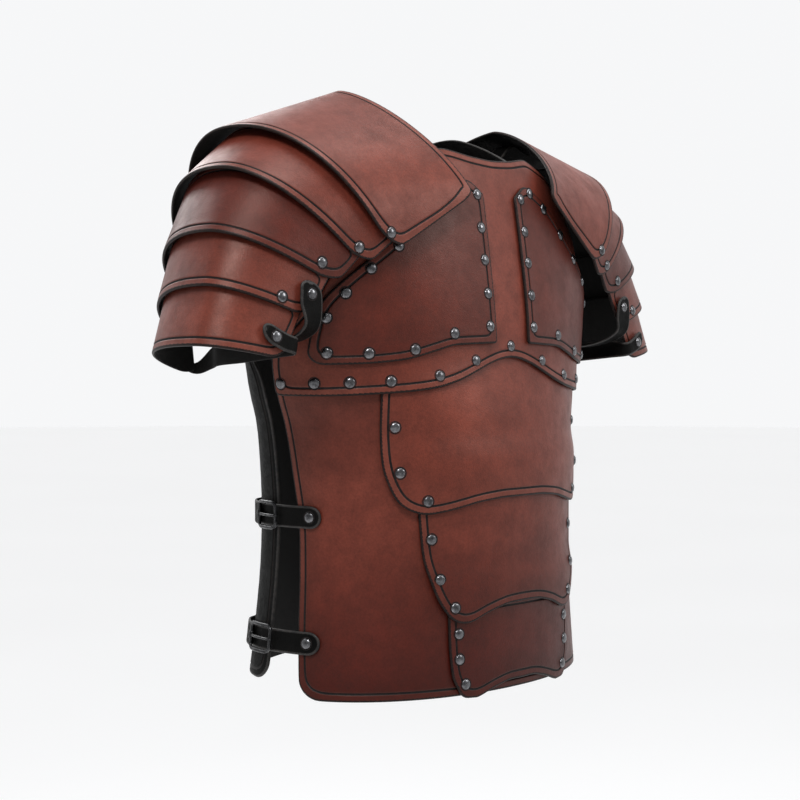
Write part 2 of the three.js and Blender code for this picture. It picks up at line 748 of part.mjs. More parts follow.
function sideStrap(row, { name, sign }) {
  return strap(`side_strap_${row.name}_${name}`, {
    surface: body,
    from: sign * flatDegrees(row.tab),
    to: sign * flatDegrees(row.tail),
    middle: row.z,
    width: STRAP_WIDTH,
    round: 9,
    rivets: [[sign * flatDegrees(row.rivet), row.z]],
  });
}

function buckleStrap(row, { name, sign }) {
  const tail = flatDegrees(row.tail);
  const drop = (u) => (STRAP_LEATHER + 0.6) * (1 - smooth(tail + 3, tail + 16, Math.abs(u)));
  return strap(`buckle_strap_${row.name}_${name}`, {
    surface: body,
    from: sign * (flatDegrees(row.frame[1]) + 0.3),
    to: sign * flatDegrees(row.anchor),
    middle: row.z,
    width: STRAP_WIDTH + 1,
    round: 4,
    rivets: [[sign * flatDegrees(row.anchor - 3.5), row.z]],
    inner: (u) => SEAM + drop(u),
    outer: (u) => SEAM + STRAP_LEATHER + drop(u),
  });
}

// A buckle's frame with its prong across the middle, lying on the side strap.
function buckle(row, { name, sign }) {
  const { height, bar, thick, corner, prong } = FRAME;
  const [start, end] = row.frame.map(flatDegrees);
  const low = row.z - height / 2;
  const rectangle = (path, x0, y0, x1, y1, r) => {
    path.moveTo(x0 + r, y0);
    path.lineTo(x1 - r, y0);
    path.quadraticCurveTo(x1, y0, x1, y0 + r);
    path.lineTo(x1, y1 - r);
    path.quadraticCurveTo(x1, y1, x1 - r, y1);
    path.lineTo(x0 + r, y1);
    path.quadraticCurveTo(x0, y1, x0, y1 - r);
    path.lineTo(x0, y0 + r);
    path.quadraticCurveTo(x0, y0, x0 + r, y0);
    return path;
  };
  const frame = rectangle(new THREE.Shape(), start, low, end, low + height, corner);
  for (const side of [-1, 1]) {
    const near = row.z + (side * prong) / 2;
    const far = row.z + side * (height / 2 - bar);
    const window = rectangle(new THREE.Path(), start + bar, near, end - bar, far, side * 0.8);
    frame.holes.push(window);
  }
  const shape = new THREE.ExtrudeGeometry(frame, { depth: thick, bevelEnabled: false, curveSegments: 2 });
  shape.deleteAttribute('uv');
  shape.deleteAttribute('normal');
  const welded = mergeVertices(shape, 1e-4);
  const flat = welded.getAttribute('position');
  const positions = [];
  for (let i = 0; i < flat.count; i += 1) {
    const lift = FRAME.lift + flat.getZ(i);
    positions.push(...lifted(body, sign * flat.getX(i), flat.getY(i), lift).toArray());
  }
  return solid(`buckle_${row.name}_${name}`, positions, [...welded.index.array], 'metal');
}

// ---- assembly -----------------------------------------------------------------------------------
const group = new THREE.Group();
group.add(chestPanel(), frontPanel(), backPanel());
for (const side of SIDES) group.add(chestPlate(side));
BELLY_PLATES.forEach((row, index) => group.add(bellyPlate(row, index)));
for (const side of SIDES) {
  group.add(shoulderStrap(side), hanger(side));
  RIMS.forEach((rim, index) => group.add(lame(index, side)));
  ARM_STRAPS.forEach((row) => group.add(armStrap(row, side)));
  SIDE_STRAPS.forEach((row) => {
    group.add(sideStrap(row, side), buckle(row, side), buckleStrap(row, side));
  });
}

export default group;
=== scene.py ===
"""Leather cuirass, dressed: every leather piece is cut flat as an outline and formed on a surface.

Sizes in the tables are millimetres, in the CAD model's frame; meshes are made in metres. Paired
pieces are made for the wearer's left and mirrored for the wearer's right.
"""
import math

import bpy
import numpy as np
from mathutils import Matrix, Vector
from mathutils.geometry import delaunay_2d_cdt


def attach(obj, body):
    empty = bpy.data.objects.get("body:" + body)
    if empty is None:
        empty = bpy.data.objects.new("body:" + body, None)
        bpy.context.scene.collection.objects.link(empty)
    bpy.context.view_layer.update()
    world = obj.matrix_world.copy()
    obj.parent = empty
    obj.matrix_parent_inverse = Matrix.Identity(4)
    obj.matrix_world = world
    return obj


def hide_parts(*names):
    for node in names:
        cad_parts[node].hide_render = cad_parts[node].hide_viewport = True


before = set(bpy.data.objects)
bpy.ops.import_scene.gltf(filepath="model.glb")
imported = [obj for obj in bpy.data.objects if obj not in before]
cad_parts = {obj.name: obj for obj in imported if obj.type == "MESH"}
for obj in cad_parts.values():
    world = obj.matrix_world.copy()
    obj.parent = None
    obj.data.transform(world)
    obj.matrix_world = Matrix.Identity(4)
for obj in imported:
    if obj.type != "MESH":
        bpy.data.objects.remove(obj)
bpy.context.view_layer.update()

# ---- driving dimensions: the solids' own, with rounder lame corners ----
LEATHER = 3.0
STRAP_LEATHER = 2.5
STRAP_WIDTH = 21.5
SEAM = 0.9
LAYER = LEATHER + SEAM
AXIS_Y = -8
FLAT_RADIUS = 165
HEM_Z = -516
BACK_HEM_Z = -503
CHEST_SIDE = 86.5
BACK_SIDE = 93

# Body sections: height, half width, depth in front of and behind the axis, squareness of the oval.
SECTIONS = np.array([
    (-516, 197, 142, 114, 2.15),
    (-450, 188, 141, 109, 2.15),
    (-400, 182, 140, 107, 2.15),
    (-347, 179, 140, 108, 2.15),
    (-300, 182, 139, 107, 2.15),
    (-260, 188, 136, 106, 2.15),
    (-230, 197, 130, 105, 2.2),
    (-200, 203, 124, 104, 2.25),
    (-160, 209, 121, 104, 2.3),
    (-125, 212, 117, 106, 2.38),
    (-75, 203, 110, 104, 2.38),
    (-42, 184, 105, 100, 2.35),
    (-20, 166, 101, 96, 2.32),
    (-5, 151, 97, 92, 2.3),
    (10, 135, 91, 87, 2.3),
])

# Pauldron rims, wearer's left: front corner, crown and rear corner of each lame's lower edge.
RIMS = [
    ((162, -130, -104), (247, -4, 15), (175, 104, -111)),
    ((184, -116, -118), (288, -30, -28), (191, 93, -137)),
    ((212, -106, -134), (313, -45, -87), (210, 78, -163)),
    ((241, -101, -163), (325, -55, -135), (228, 70, -193)),
    ((267, -96, -199), (338, -58, -187), (230, 64, -215)),
]
# Neck edge of the top lame on each side, drawn for the wearer's left: the left one sits lower.
NECK_EDGES = {
    "left": ((68, -137, -36), (126, -15, 47), (90, 120, -38)),
    "right": ((58, -140, -43), (112, -15, 62), (84, 120, -34)),
}
NECK_POWER = 1.45
RIM_POWER = 2.2
TUCK = 0.8
CROWN_STAND_OFF = 2
LAME_LENGTHS = [330, 330, 300, 260, 250]
LAME_WIDTHS = [125, 62, 66, 62, 66]
LAME_TIPS = [16, 8, 8, 8, 8]
LAME_ROUNDS = [22, 20, 21, 17, 14]
LAME_RIVETS = [[(11, 10)], [(13, 10.5)], [(20, 16)], [(30, 10)], []]

PLATE_RIVETS = [
    (33.5, -42), (33.5, -74), (33.5, -105), (33.5, -137), (33.5, -168), (79, -175), (120, -190),
    (158, -193), (184, -192), (187, -160), (177, -138), (158, -117), (132, -96), (104, -73),
    (74, -49), (51, -35),
]
PLATE_CORNERS = [
    (24, -41, 4), (44, -26, 8), (82, -44, 15), (150, -101, 12), (187, -137, 10), (193, -150, 8),
    (193, -203, 12), (158, -203, 20), (127, -200, 15), (100, -192, 15), (80, -186, 12),
    (24, -184, 4),
]
HEM_BAND_RIVETS_X = [0, 51, 95, 140, 169, 187.5, 197.8]


# ---- curves ----
def hermite(xs, ys, x):
    """A smooth cubic through the rows of ys at xs."""
    slopes = np.empty_like(ys)
    gaps = np.diff(xs)
    wide = (xs[2:] - xs[:-2]).reshape(-1, *([1] * (ys.ndim - 1)))
    slopes[1:-1] = (ys[2:] - ys[:-2]) / wide
    slopes[0] = (ys[1] - ys[0]) / gaps[0]
    slopes[-1] = (ys[-1] - ys[-2]) / gaps[-1]
    x = np.clip(x, xs[0], xs[-1])
    row = np.clip(np.searchsorted(xs, x, side="right") - 1, 0, len(xs) - 2)
    step = gaps[row]
    t = (x - xs[row]) / step
    if ys.ndim > 1:
        step, t = step[..., None], t[..., None]
    start, end = ys[row], ys[row + 1]
    return (
        start * (1 + 2 * t) * (1 - t) ** 2 + end * (3 - 2 * t) * t**2
        + step * t * (1 - t) * (slopes[row] * (1 - t) - slopes[row + 1] * t)
    )


def smooth(low, high, value):
    """Eases from 0 at low to 1 at high."""
    t = np.clip((value - low) / (high - low), 0, 1)
    return t * t * (3 - 2 * t)


def catmull_rom(points, samples=400):
    """A centripetal curve through the points, resampled to even steps along its length."""
    points = np.asarray(points, float)
    ends = 2 * points[[0, -1]] - points[[1, -2]]
    full = np.vstack([ends[:1], points, ends[1:]])
    t = np.linspace(0, 1, 24, endpoint=False)[:, None]
    parts = []
    for p0, p1, p2, p3 in zip(full, full[1:], full[2:], full[3:]):
        d0, d1, d2 = (np.sqrt(np.linalg.norm(b - a)) for a, b in ((p0, p1), (p1, p2), (p2, p3)))
        slope1 = ((p1 - p0) / d0 - (p2 - p0) / (d0 + d1) + (p2 - p1) / d1) * d1
        slope2 = ((p2 - p1) / d1 - (p3 - p1) / (d1 + d2) + (p3 - p2) / d2) * d1
        parts.append(
            p1 + slope1 * t + (3 * (p2 - p1) - 2 * slope1 - slope2) * t**2
            + (2 * (p1 - p2) + slope1 + slope2) * t**3
        )
    path = np.vstack([*parts, points[-1:]])
    along = np.concatenate([[0], np.cumsum(np.linalg.norm(np.diff(path, axis=0), axis=1))])
    even = np.linspace(0, along[-1], samples)
    return np.stack([np.interp(even, along, path[:, k]) for k in range(3)], axis=1)


# ---- surfaces: functions of flat arrays (u, v) that give points ----
def lifted(surface, u, v, lift, step=0.5):
    """Points of a surface, moved out along its normal."""
    along = surface(u + step, v) - surface(u - step, v)
    up = surface(u, v + step) - surface(u, v - step)
    normal = np.cross(along, up)
    normal /= np.linalg.norm(normal, axis=1, keepdims=True)
    return surface(u, v) + normal * np.reshape(lift, (-1, 1))


def body_radius(angle, z):
    """The oval sections of the torso: distance from the axis at an angle from the front."""
    half, front, back, power = (hermite(SECTIONS[:, 0], SECTIONS[:, k], z) for k in range(1, 5))
    depth = np.where(np.cos(angle) > 0, front, back)
    across = np.abs(np.sin(angle)) / half
    along = np.abs(np.cos(angle)) / depth
    return (across**power + along**power) ** (-1 / power)


def body(u, z):
    """The torso's surface. u is the angle from the front times FLAT_RADIUS."""
    angle = np.asarray(u, float) / FLAT_RADIUS
    z = np.asarray(z, float)
    radius = body_radius(angle, z)
    return np.stack([radius * np.sin(angle), AXIS_Y - radius * np.cos(angle), z], axis=-1)


def flat_at(x, z, on_back=False):
    """The flat place of a point of the body at a distance x from the middle plane."""
    low, high = 0.0, math.pi / 2
    for _ in range(30):
        angle = (low + high) / 2
        turned = math.pi - angle if on_back else angle
        if body_radius(np.array(turned), np.array(float(z))) * math.sin(turned) < abs(x):
            low = angle
        else:
            high = angle
    flat = (math.pi - low if on_back else low) * FLAT_RADIUS
    return math.copysign(flat, x) if x else 0.0, z


def degrees_flat(degrees):
    return math.radians(degrees) * FLAT_RADIUS


def arch_point(arch, power, share):
    """Points of an arch from its front corner over its crown to its rear corner."""
    front, crown, rear = (np.array(p, float) for p in arch)
    end = np.where((share > 0.5)[:, None], rear, front)
    centre = end.copy()
    centre[:, 1] = crown[1]
    turn = np.abs(share - 0.5) * math.pi
    rise = np.maximum(np.cos(turn), 0) ** (2 / power)
    reach = np.sin(turn) ** (2 / power)
    return centre + (crown - centre) * rise[:, None] + (end - centre) * reach[:, None]


def lame_surfaces(neck_edge):
    """Each lame is ruled between its rim and an arc that lies inside the lame above."""
    shares = np.linspace(0, 1, 161)
    surfaces = []
    upper = arch_point(neck_edge, NECK_POWER, shares)
    for index, rim in enumerate(RIMS):
        length, width = LAME_LENGTHS[index], LAME_WIDTHS[index]

        def ruled(share, v, rim=rim, upper=upper, width=width):
            low = arch_point(rim, RIM_POWER, share)
            return low + (hermite(shares, upper, share) - low) * (v / width)[:, None]

        def surface(u, v, ruled=ruled, length=length):
            along = u / length
            share = np.clip(along, 0, 1)
            over = along - share
            back = np.where(over < 0, -0.01, 0.01)  # carried on straight beyond the ends
            point = ruled(share, v)
            near = ruled(share - back, v)
            return point + (point - near) * (over / back)[:, None]

        surfaces.append(surface)
        place = (0.02 + 0.96 * shares) * length
        room = LAYER + CROWN_STAND_OFF * np.sin(math.pi * shares)
        upper = lifted(surface, place, np.full_like(place, (1 - TUCK) * width), -room)
    return surfaces


def woven(paths, length, width):
    """A surface through evenly sampled paths that lie side by side from v = 0 to v = width."""
    grid = np.stack(paths)
    shares = np.linspace(0, 1, grid.shape[1])

    def surface(u, v):
        across = np.clip(v / width, -0.2, 1.2) * (len(paths) - 1)
        row = np.clip(across.astype(int), 0, len(paths) - 2)
        share = np.clip(u / length, 0, 1)
        place = share * (grid.shape[1] - 1)
        column = np.clip(place.astype(int), 0, grid.shape[1] - 2)
        t = (place - column)[:, None]
        low = grid[row, column] * (1 - t) + grid[row, column + 1] * t
        high = grid[row + 1, column] * (1 - t) + grid[row + 1, column + 1] * t
        return low + (high - low) * (across - row)[:, None]

    return surface


# ---- outlines ----
# Corners that turn more than this stay; the outline is eased from 14 to 34 mm away from them.
SHARP_HALF_ANGLE = math.radians(64)
EASE_BETWEEN = (14, 34)
EASE_PASSES = 16


def outline(corners, step):
    """A closed outline through corners (u, v, radius), eased into curves where it turns little."""
    spots = np.array([corner[:2] for corner in corners], float)
    stretches, sharp = [], []
    for i, corner in enumerate(corners):
        here = spots[i]
        before = spots[i - 1] - here
        after = spots[(i + 1) % len(spots)] - here
        a, b = np.linalg.norm(before), np.linalg.norm(after)
        half = math.acos(np.clip(before @ after / (a * b), -1, 1)) / 2
        if half < SHARP_HALF_ANGLE:
            sharp.append(here)
        reach = min(corner[2] / math.tan(half), 0.49 * min(a, b))
        if reach <= 0.5:
            stretches.append(here[None])
            continue
        t = np.linspace(0, 1, max(4, math.ceil(2 * reach / step) + 1))[:, None]
        start, end = here + before / a * reach, here + after / b * reach
        weight = math.sin(half)
        pull = (1 - t) ** 2 + 2 * weight * t * (1 - t) + t**2
        stretches.append(
            (start * (1 - t) ** 2 + here * 2 * weight * t * (1 - t) + end * t**2) / pull)
    closed = []
    for i, stretch in enumerate(stretches):
        following = stretches[(i + 1) % len(stretches)][0]
        gap = np.linalg.norm(following - stretch[-1])
        parts = max(1, round(gap / step))
        t = np.arange(1, parts)[:, None] / parts
        closed += [stretch, stretch[-1] * (1 - t) + following * t]
    points = np.vstack(closed)
    if sharp:
        near = np.linalg.norm(points[:, None] - np.array(sharp), axis=2).min(axis=1)
        free = smooth(*EASE_BETWEEN, near)[:, None]
        for _ in range(EASE_PASSES):
            middle = (np.roll(points, 1, axis=0) + np.roll(points, -1, axis=0)) / 2
            points = points + 0.5 * free * (middle - points)
    x, y = points.T
    turn = np.sum(x * np.roll(y, -1) - np.roll(x, -1) * y)
    return points if turn > 0 else points[::-1]


def rectangle(start, end, low, high, corner):
    """Corners of a strip from start to end along u and from low to high along v."""
    return [(start, low, corner), (end, low, corner), (end, high, corner), (start, high, corner)]


def mirrored(half):
    """Both halves of a symmetric piece from the corners of its left half."""
    return half + [(-u, v, r) for u, v, r in reversed(half) if abs(u) > 1]


def inside(edge, points):
    """Which points lie inside the outline."""
    ax, ay = edge.T[:, :, None]
    bx, by = np.roll(edge, 1, axis=0).T[:, :, None]
    px, py = points.T[:, None, :]
    crosses = (ay > py) != (by > py)
    with np.errstate(divide="ignore", invalid="ignore"):
        left = px < (bx - ax) * (py - ay) / (by - ay) + ax
    return np.sum(crosses & left, axis=0) % 2 == 1


def edge_distance(edge3, points3):
    """Distance in millimetres from formed points to the formed outline."""
    a = edge3
    run = np.roll(edge3, -1, axis=0) - a
    long = np.maximum(np.sum(run * run, axis=1), 1e-9)
    best = np.full(len(points3), 1e9)
    for chunk in range(0, len(points3), 400):
        p = points3[chunk:chunk + 400, None]
        t = np.clip(np.sum((p - a) * run, axis=2) / long, 0, 1)
        gap = np.linalg.norm(p - (a + run * t[..., None]), axis=2)
        best[chunk:chunk + 400] = gap.min(axis=1)
    return best


def moved_ring(edge, surface, inset):
    """A ring moved in by a real distance, or out; points that a corner folds over are dropped."""
    u, v = edge.T
    a = surface(u + 0.5, v) - surface(u - 0.5, v)
    b = surface(u, v + 0.5) - surface(u, v - 0.5)
    aa, ab, bb = (np.sum(p * q, axis=1) for p, q in ((a, a), (a, b), (b, b)))
    run = np.roll(edge, -1, axis=0) - np.roll(edge, 1, axis=0)
    wu, wv = -run[:, 1], run[:, 0]
    det = aa * bb - ab * ab
    nu, nv = (bb * wu - ab * wv) / det, (aa * wv - ab * wu) / det
    size = np.sqrt(aa * nu**2 + 2 * ab * nu * nv + bb * nv**2)
    ring = edge + np.stack([nu, nv], axis=1) * (inset / size)[:, None]
    gap = edge_distance(surface(u, v), surface(*ring.T))
    return ring[(gap > abs(inset) * 0.94) & (inside(edge, ring) == (inset > 0))]


def eased_ring(ring, surface, spacing=3.5, passes=6):
    """The ring in even steps, with its corners rounded."""
    run = np.linalg.norm(np.diff(np.vstack([ring, ring[:1]]), axis=0), axis=1)
    along = np.concatenate([[0], np.cumsum(run)])
    even = np.linspace(0, along[-1], max(12, round(along[-1] / spacing)), endpoint=False)
    closed = np.vstack([ring, ring[:1]])
    ring = np.stack([np.interp(even, along, closed[:, k]) for k in (0, 1)], axis=1)
    for _ in range(passes):
        ring = ring / 2 + (np.roll(ring, 1, axis=0) + np.roll(ring, -1, axis=0)) / 4
    return ring


# ---- meshes ----
ZONES = {"skin": 0, "groove": 1, "edge": 2, "flesh": 3}
GROOVE_INSET = 7.5
GROOVE_HALF_WIDTH = 0.95
EDGE_BAND = 2.0
LOOKS = {
    "leather": ["leather", "groove", "edge", "flesh"],
    "black": ["black_leather", "groove", "black_edge", "flesh"],
}

# Inset from the cut edge and drop, over the rounded arris; and across the groove from its middle,
# with a lip that the tool raises on each side.
FRONT_PROFILE = [(0, -1.1), (0.35, -0.48), (0.9, -0.12), (1.6, 0), (2.3, 0)]
GROOVE_PROFILE = [
    (-2.6, 0), (-1.7, 0.12), (-1.05, -0.08), (-0.55, -0.9), (0.55, -0.9), (1.05, -0.08),
    (1.7, 0.14), (3.0, 0),
]
REAR_PROFILE = [(0, -0.8), (0.5, -0.2), (1.4, 0)]

# Rivets: the dome, and the ring pressed round it as radius and rise; the ring is painted shadow.
RIVET_RADIUS = 5.0
RIVET_HEIGHT = 2.3
RIVET_SINK = -0.15
DOME_RISE = 0.25
DOME_DEGREES = [90, 76, 60, 44, 28, 13]
RIVET_RING = [(6.2, 0.02), (5.6, 0.22), (5.2, RIVET_SINK)]
RIVET_SIDES = 20

# Painted shade: how dark each piece is painted, for the shadow under the lames and for the light
# falling off lower down. All darken towards the hem, also painted shade, from the first to the
# second depth below the shoulders. The border's shade fades out by INSET_REACH.
PAINTED_SHADE = {
    "chest_plate": 0.56, "lame_2": 0.82, "lame_3": 0.5, "lame_4": 0.86, "lame_5": 0.98,
    "front_panel": 0.9, "belly_plate_middle": 0.88, "belly_plate_lower": 0.74,
}
HEM_SHADE = 0.62
HEM_SHADE_BETWEEN = (300, 520)
INSET_REACH = 30.0

SIDES = ("left", "right")
DRESSED = set()


def filled(edge, surface, profile, cell, groove=0):
    """Triangles of one face: rings at each inset of the profile, and a grid within them."""
    rings = [(edge, *profile[0])]
    rings += [(moved_ring(edge, surface, inset), inset, drop) for inset, drop in profile[1:]]
    if groove:
        guide = eased_ring(moved_ring(edge, surface, groove), surface)
        rings += [
            (moved_ring(guide, surface, away), groove + away, drop) for away, drop in GROOVE_PROFILE
        ]
    rings = [ring for ring in rings if len(ring[0]) > 5]
    u, v = edge.T
    scale_u = np.linalg.norm(surface(u + 0.5, v) - surface(u - 0.5, v), axis=1).mean()
    scale_v = np.linalg.norm(surface(u, v + 0.5) - surface(u, v - 0.5), axis=1).mean()
    step_u, step_v = cell / scale_u, cell * 0.87 / scale_v
    rows = np.arange(v.min() + step_v / 2, v.max(), step_v)
    columns = np.arange(u.min(), u.max() + step_u, step_u)
    grid = np.array([(x + (i % 2) * step_u / 2, y) for i, y in enumerate(rows) for x in columns])
    grid = grid[inside(edge, grid)]
    if len(grid):
        gap = edge_distance(surface(u, v), surface(*grid.T))
        clear = gap > rings[-1][1] + 0.45 * cell
        grid, gap = grid[clear], gap[clear]
    else:
        gap = np.zeros(0)
    points = np.vstack([ring for ring, _, _ in rings] + [grid])
    insets = np.concatenate([np.full(len(r), inset) for r, inset, _ in rings] + [gap])
    drops = np.concatenate([np.full(len(r), drop) for r, _, drop in rings] + [np.zeros(len(grid))])
    links, start = [], 0
    for ring, _, _ in rings:
        count = len(ring)
        links += [(start + i, start + (i + 1) % count) for i in range(count)]
        start += count
    flat = [Vector((x * scale_u, y * scale_v)) for x, y in points]
    spots, _, faces, origins, _, _ = delaunay_2d_cdt(flat, links, [], 1, 1e-5)
    sources = [ids[0] if ids else -1 for ids in origins]
    for i, source in enumerate(sources):
        if source < 0:
            gaps = [(spots[i] - p).length_squared for p in flat]
            sources[i] = int(np.argmin(gaps))
    order = np.array(sources)
    spots = np.array([(p.x / scale_u, p.y / scale_v) for p in spots])
    triangles = np.array([face for face in faces if len(face) == 3])
    a, b, c = (spots[triangles[:, k]] for k in range(3))
    turn = (b[:, 0] - a[:, 0]) * (c[:, 1] - a[:, 1]) - (c[:, 0] - a[:, 0]) * (b[:, 1] - a[:, 1])
    triangles = triangles[np.abs(turn) > 1e-9]
    turn = turn[np.abs(turn) > 1e-9]
    triangles[turn < 0] = triangles[turn < 0][:, ::-1]
    rim = {int(source): i for i, source in reversed(list(enumerate(sources)))}
    border = [rim[i] for i in range(len(edge))]
    return spots, insets[order], drops[order], triangles, border


def make_object(name, points, faces, zones, looks, values=None):
    """A mesh in metres with a look for each zone, and named values on its points."""
    mesh = bpy.data.meshes.new(name)
    mesh.from_pydata((np.asarray(points) / 1000).tolist(), [], [list(map(int, f)) for f in faces])
    for look in looks:
        mesh.materials.append(MATERIALS[look])
    mesh.polygons.foreach_set("material_index", zones)
    mesh.polygons.foreach_set("use_smooth", [True] * len(mesh.polygons))
    for key, value in (values or {}).items():
        layer = mesh.attributes.new(key, "FLOAT", "POINT")
        layer.data.foreach_set("value", np.asarray(value, float))
    mesh.update()
    piece = bpy.data.objects.new(name, mesh)
    bpy.context.scene.collection.objects.link(piece)
    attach(piece, "root")
    return piece


def rivet_mesh(surface, lift, places):
    """Domed heads in a pressed ring of painted shadow, on a surface at the given lift."""
    dome = [(RIVET_RADIUS * math.sin(t), DOME_RISE + (RIVET_HEIGHT - DOME_RISE) * math.cos(t))
            for t in np.radians(DOME_DEGREES)]
    profile = [*RIVET_RING, (RIVET_RADIUS, RIVET_SINK), *dome]
    turns = np.linspace(0, 2 * math.pi, RIVET_SIDES, endpoint=False)
    points, faces, zones = [], [], []
    for u, v in places:
        at = np.array([u]), np.array([v])
        height = lift(*at) if callable(lift) else lift
        middle = lifted(surface, *at, height)[0]
        ahead = lifted(surface, at[0] + 1, at[1], height)[0] - middle
        up = lifted(surface, at[0], at[1] + 1, height)[0] - middle
        normal = np.cross(ahead, up)
        normal /= np.linalg.norm(normal)
        ahead /= np.linalg.norm(ahead)
        side = np.cross(normal, ahead)
        start = len(points)
        for radius, rise in profile:
            for t in turns:
                points.append(
                    middle + radius * (math.cos(t) * ahead + math.sin(t) * side) + rise * normal)
        points.append(middle + RIVET_HEIGHT * normal)
        count = len(turns)
        for ring in range(len(profile) - 1):
            for i in range(count):
                a, b = start + ring * count + i, start + ring * count + (i + 1) % count
                faces.append((a, b, b + count, a + count))
                # The pressed ring gets the groove's black: painted shadow round the head.
                zones.append(1 if ring < len(RIVET_RING) else 0)
        top = start + (len(profile) - 1) * count
        for i in range(count):
            faces.append((top + i, top + (i + 1) % count, start + len(profile) * count))
            zones.append(0)
    return np.array(points), faces, zones


def flat_size(surface, edge):
    """Sides of the flat cut in metres: the longest lines along the formed piece, and 1 percent."""
    sizes = []
    for axis in (0, 1):
        low, high = edge[:, axis].min(), edge[:, axis].max()
        longest = 0
        for share in (0.1, 0.3, 0.5, 0.7, 0.9):
            other = edge[:, 1 - axis].min() * (1 - share) + edge[:, 1 - axis].max() * share
            run = np.linspace(low, high, 60)
            line = (run, np.full(60, other)) if axis == 0 else (np.full(60, other), run)
            path = surface(*line)
            longest = max(longest, np.linalg.norm(np.diff(path, axis=0), axis=1).sum())
        sizes.append(longest * 1.01 / 1000)
    return sizes


def formed(node, corners, surface, inner, outer, rivets=(), groove=0, look="leather", cell=10,
           rests_on=(), sides=(), step=4.0):
    """A wall of leather between two lifts of a surface, with its rivets, once or for each side."""
    edge = outline(corners, step)
    front = filled(edge, surface, FRONT_PROFILE, cell, groove)
    rear = filled(edge, surface, REAR_PROFILE, cell * 1.4)
    spots, insets, drops, triangles, border = front
    back_spots, _, back_drops, back_triangles, back_border = rear

    def heights(lift, places):
        return lift(*places.T) if callable(lift) else np.full(len(places), float(lift))

    outside = lifted(surface, *spots.T, heights(outer, spots) + drops)
    behind = lifted(surface, *back_spots.T, heights(inner, back_spots) - back_drops)
    offset = len(outside)
    mean = insets[triangles].mean(axis=1)
    zones = np.full(len(triangles), ZONES["skin"])
    if groove:
        zones[np.abs(mean - groove) < GROOVE_HALF_WIDTH] = ZONES["groove"]
    zones[mean < EDGE_BAND] = ZONES["edge"]
    faces = [tuple(t) for t in triangles] + [tuple(t[::-1] + offset) for t in back_triangles]
    zones = list(zones) + [ZONES["flesh"]] * len(back_triangles)
    for i, a in enumerate(border):
        b = border[(i + 1) % len(border)]
        c, d = back_border[(i + 1) % len(border)] + offset, back_border[i] + offset
        faces.append((b, a, d, c))
        zones.append(ZONES["edge"])
    points = np.vstack([outside, behind])
    near = np.concatenate([np.minimum(insets, INSET_REACH), np.full(len(behind), INSET_REACH)])
    # Painted shade: each piece's shade times a darkening towards the hem, kept on the points.
    painted_shade = PAINTED_SHADE.get(node, 1) * (1 - HEM_SHADE * smooth(*HEM_SHADE_BETWEEN, -points[:, 2]))
    heads = rivet_mesh(surface, outer, rivets) if len(rivets) else None
    for side in sides or ("",):
        name = f"{node}_{side}" if side else node
        flip = np.array([-1 if side == "right" else 1, 1, 1])
        turned = [face[::-1] for face in faces] if side == "right" else faces
        piece = make_object(f"fine_{name}", points * flip, turned, zones, LOOKS[look],
                            {"inset": near, "painted_shade": painted_shade})
        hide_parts(name)
        if heads:
            turned = [face[::-1] for face in heads[1]] if side == "right" else heads[1]
            metal = make_object(
                f"rivets_{name}", heads[0] * flip, turned, heads[2], ["rivet", "groove"])
        width, length = flat_size(surface, edge)
        carriers = [carrier.replace("SIDE", side) for carrier in rests_on]
        carriers = [f"fine_{carrier}" if carrier in DRESSED else carrier for carrier in carriers]
        DRESSED.add(name)


# ---- materials ----
class Shader:
    """Short calls for a node material: a value that is a socket is linked, any other is set.

    An input is named, or is _ and its number.
    """

    def __init__(self, name):
        self.material = bpy.data.materials.new(name)
        self.material.use_nodes = True
        self.nodes = self.material.node_tree.nodes
        self.links = self.material.node_tree.links
        self.bsdf = self.nodes["Principled BSDF"]
        self.place = self.add("ShaderNodeTexCoord").outputs["Object"]

    def add(self, kind, settings=None, **inputs):
        node = self.nodes.new(kind)
        for key, value in (settings or {}).items():
            setattr(node, key, value)
        self.fill(node, inputs)
        return node

    def fill(self, node, inputs):
        for key, value in inputs.items():
            place = int(key[1:]) if key[0] == "_" else key.replace("_", " ")
            socket = node.inputs[place]
            if isinstance(value, bpy.types.NodeSocket):
                self.links.new(value, socket)
            else:
                socket.default_value = value

    def noise(self, scale, detail=4, roughness=0.55, distortion=0.0):
        return self.add("ShaderNodeTexNoise", Vector=self.place, Scale=scale, Detail=detail,
                        Roughness=roughness, Distortion=distortion).outputs["Fac"]

    def voronoi(self, scale, feature="F1"):
        return self.add("ShaderNodeTexVoronoi", {"feature": feature}, Vector=self.place,
                        Scale=scale).outputs["Distance"]

    def ramp(self, value, *stops):
        node = self.add("ShaderNodeValToRGB", Fac=value)
        elements = node.color_ramp.elements
        while len(elements) < len(stops):
            elements.new(0.5)
        for element, (position, colour) in zip(elements, stops):
            element.position = position
            element.color = (*colour, 1) if len(colour) == 3 else colour
        return node.outputs["Color"]

    def remap(self, value, low, high, to_low, to_high):
        return self.add("ShaderNodeMapRange", None, Value=value, _1=low, _2=high, _3=to_low,
                        _4=to_high).outputs["Result"]

    def mix(self, share, first, second, blend="MIX"):
        node = self.add("ShaderNodeMix", {"data_type": "RGBA", "blend_type": blend})
        self.fill(node, {"_0": share, "_6": first, "_7": second})
        return node.outputs[2]

    def math(self, operation, first, second):
        return self.add("ShaderNodeMath", {"operation": operation}, _0=first,
                        _1=second).outputs[0]

    def bump(self, height, strength, distance, normal=None):
        node = self.add("ShaderNodeBump", Height=height, Strength=strength, Distance=distance)
        if normal is not None:
            self.links.new(normal, node.inputs["Normal"])
        return node.outputs["Normal"]

    def set(self, **inputs):
        self.fill(self.bsdf, inputs)
        return self.material


def grey(value):
    return (value, value, value, 1)


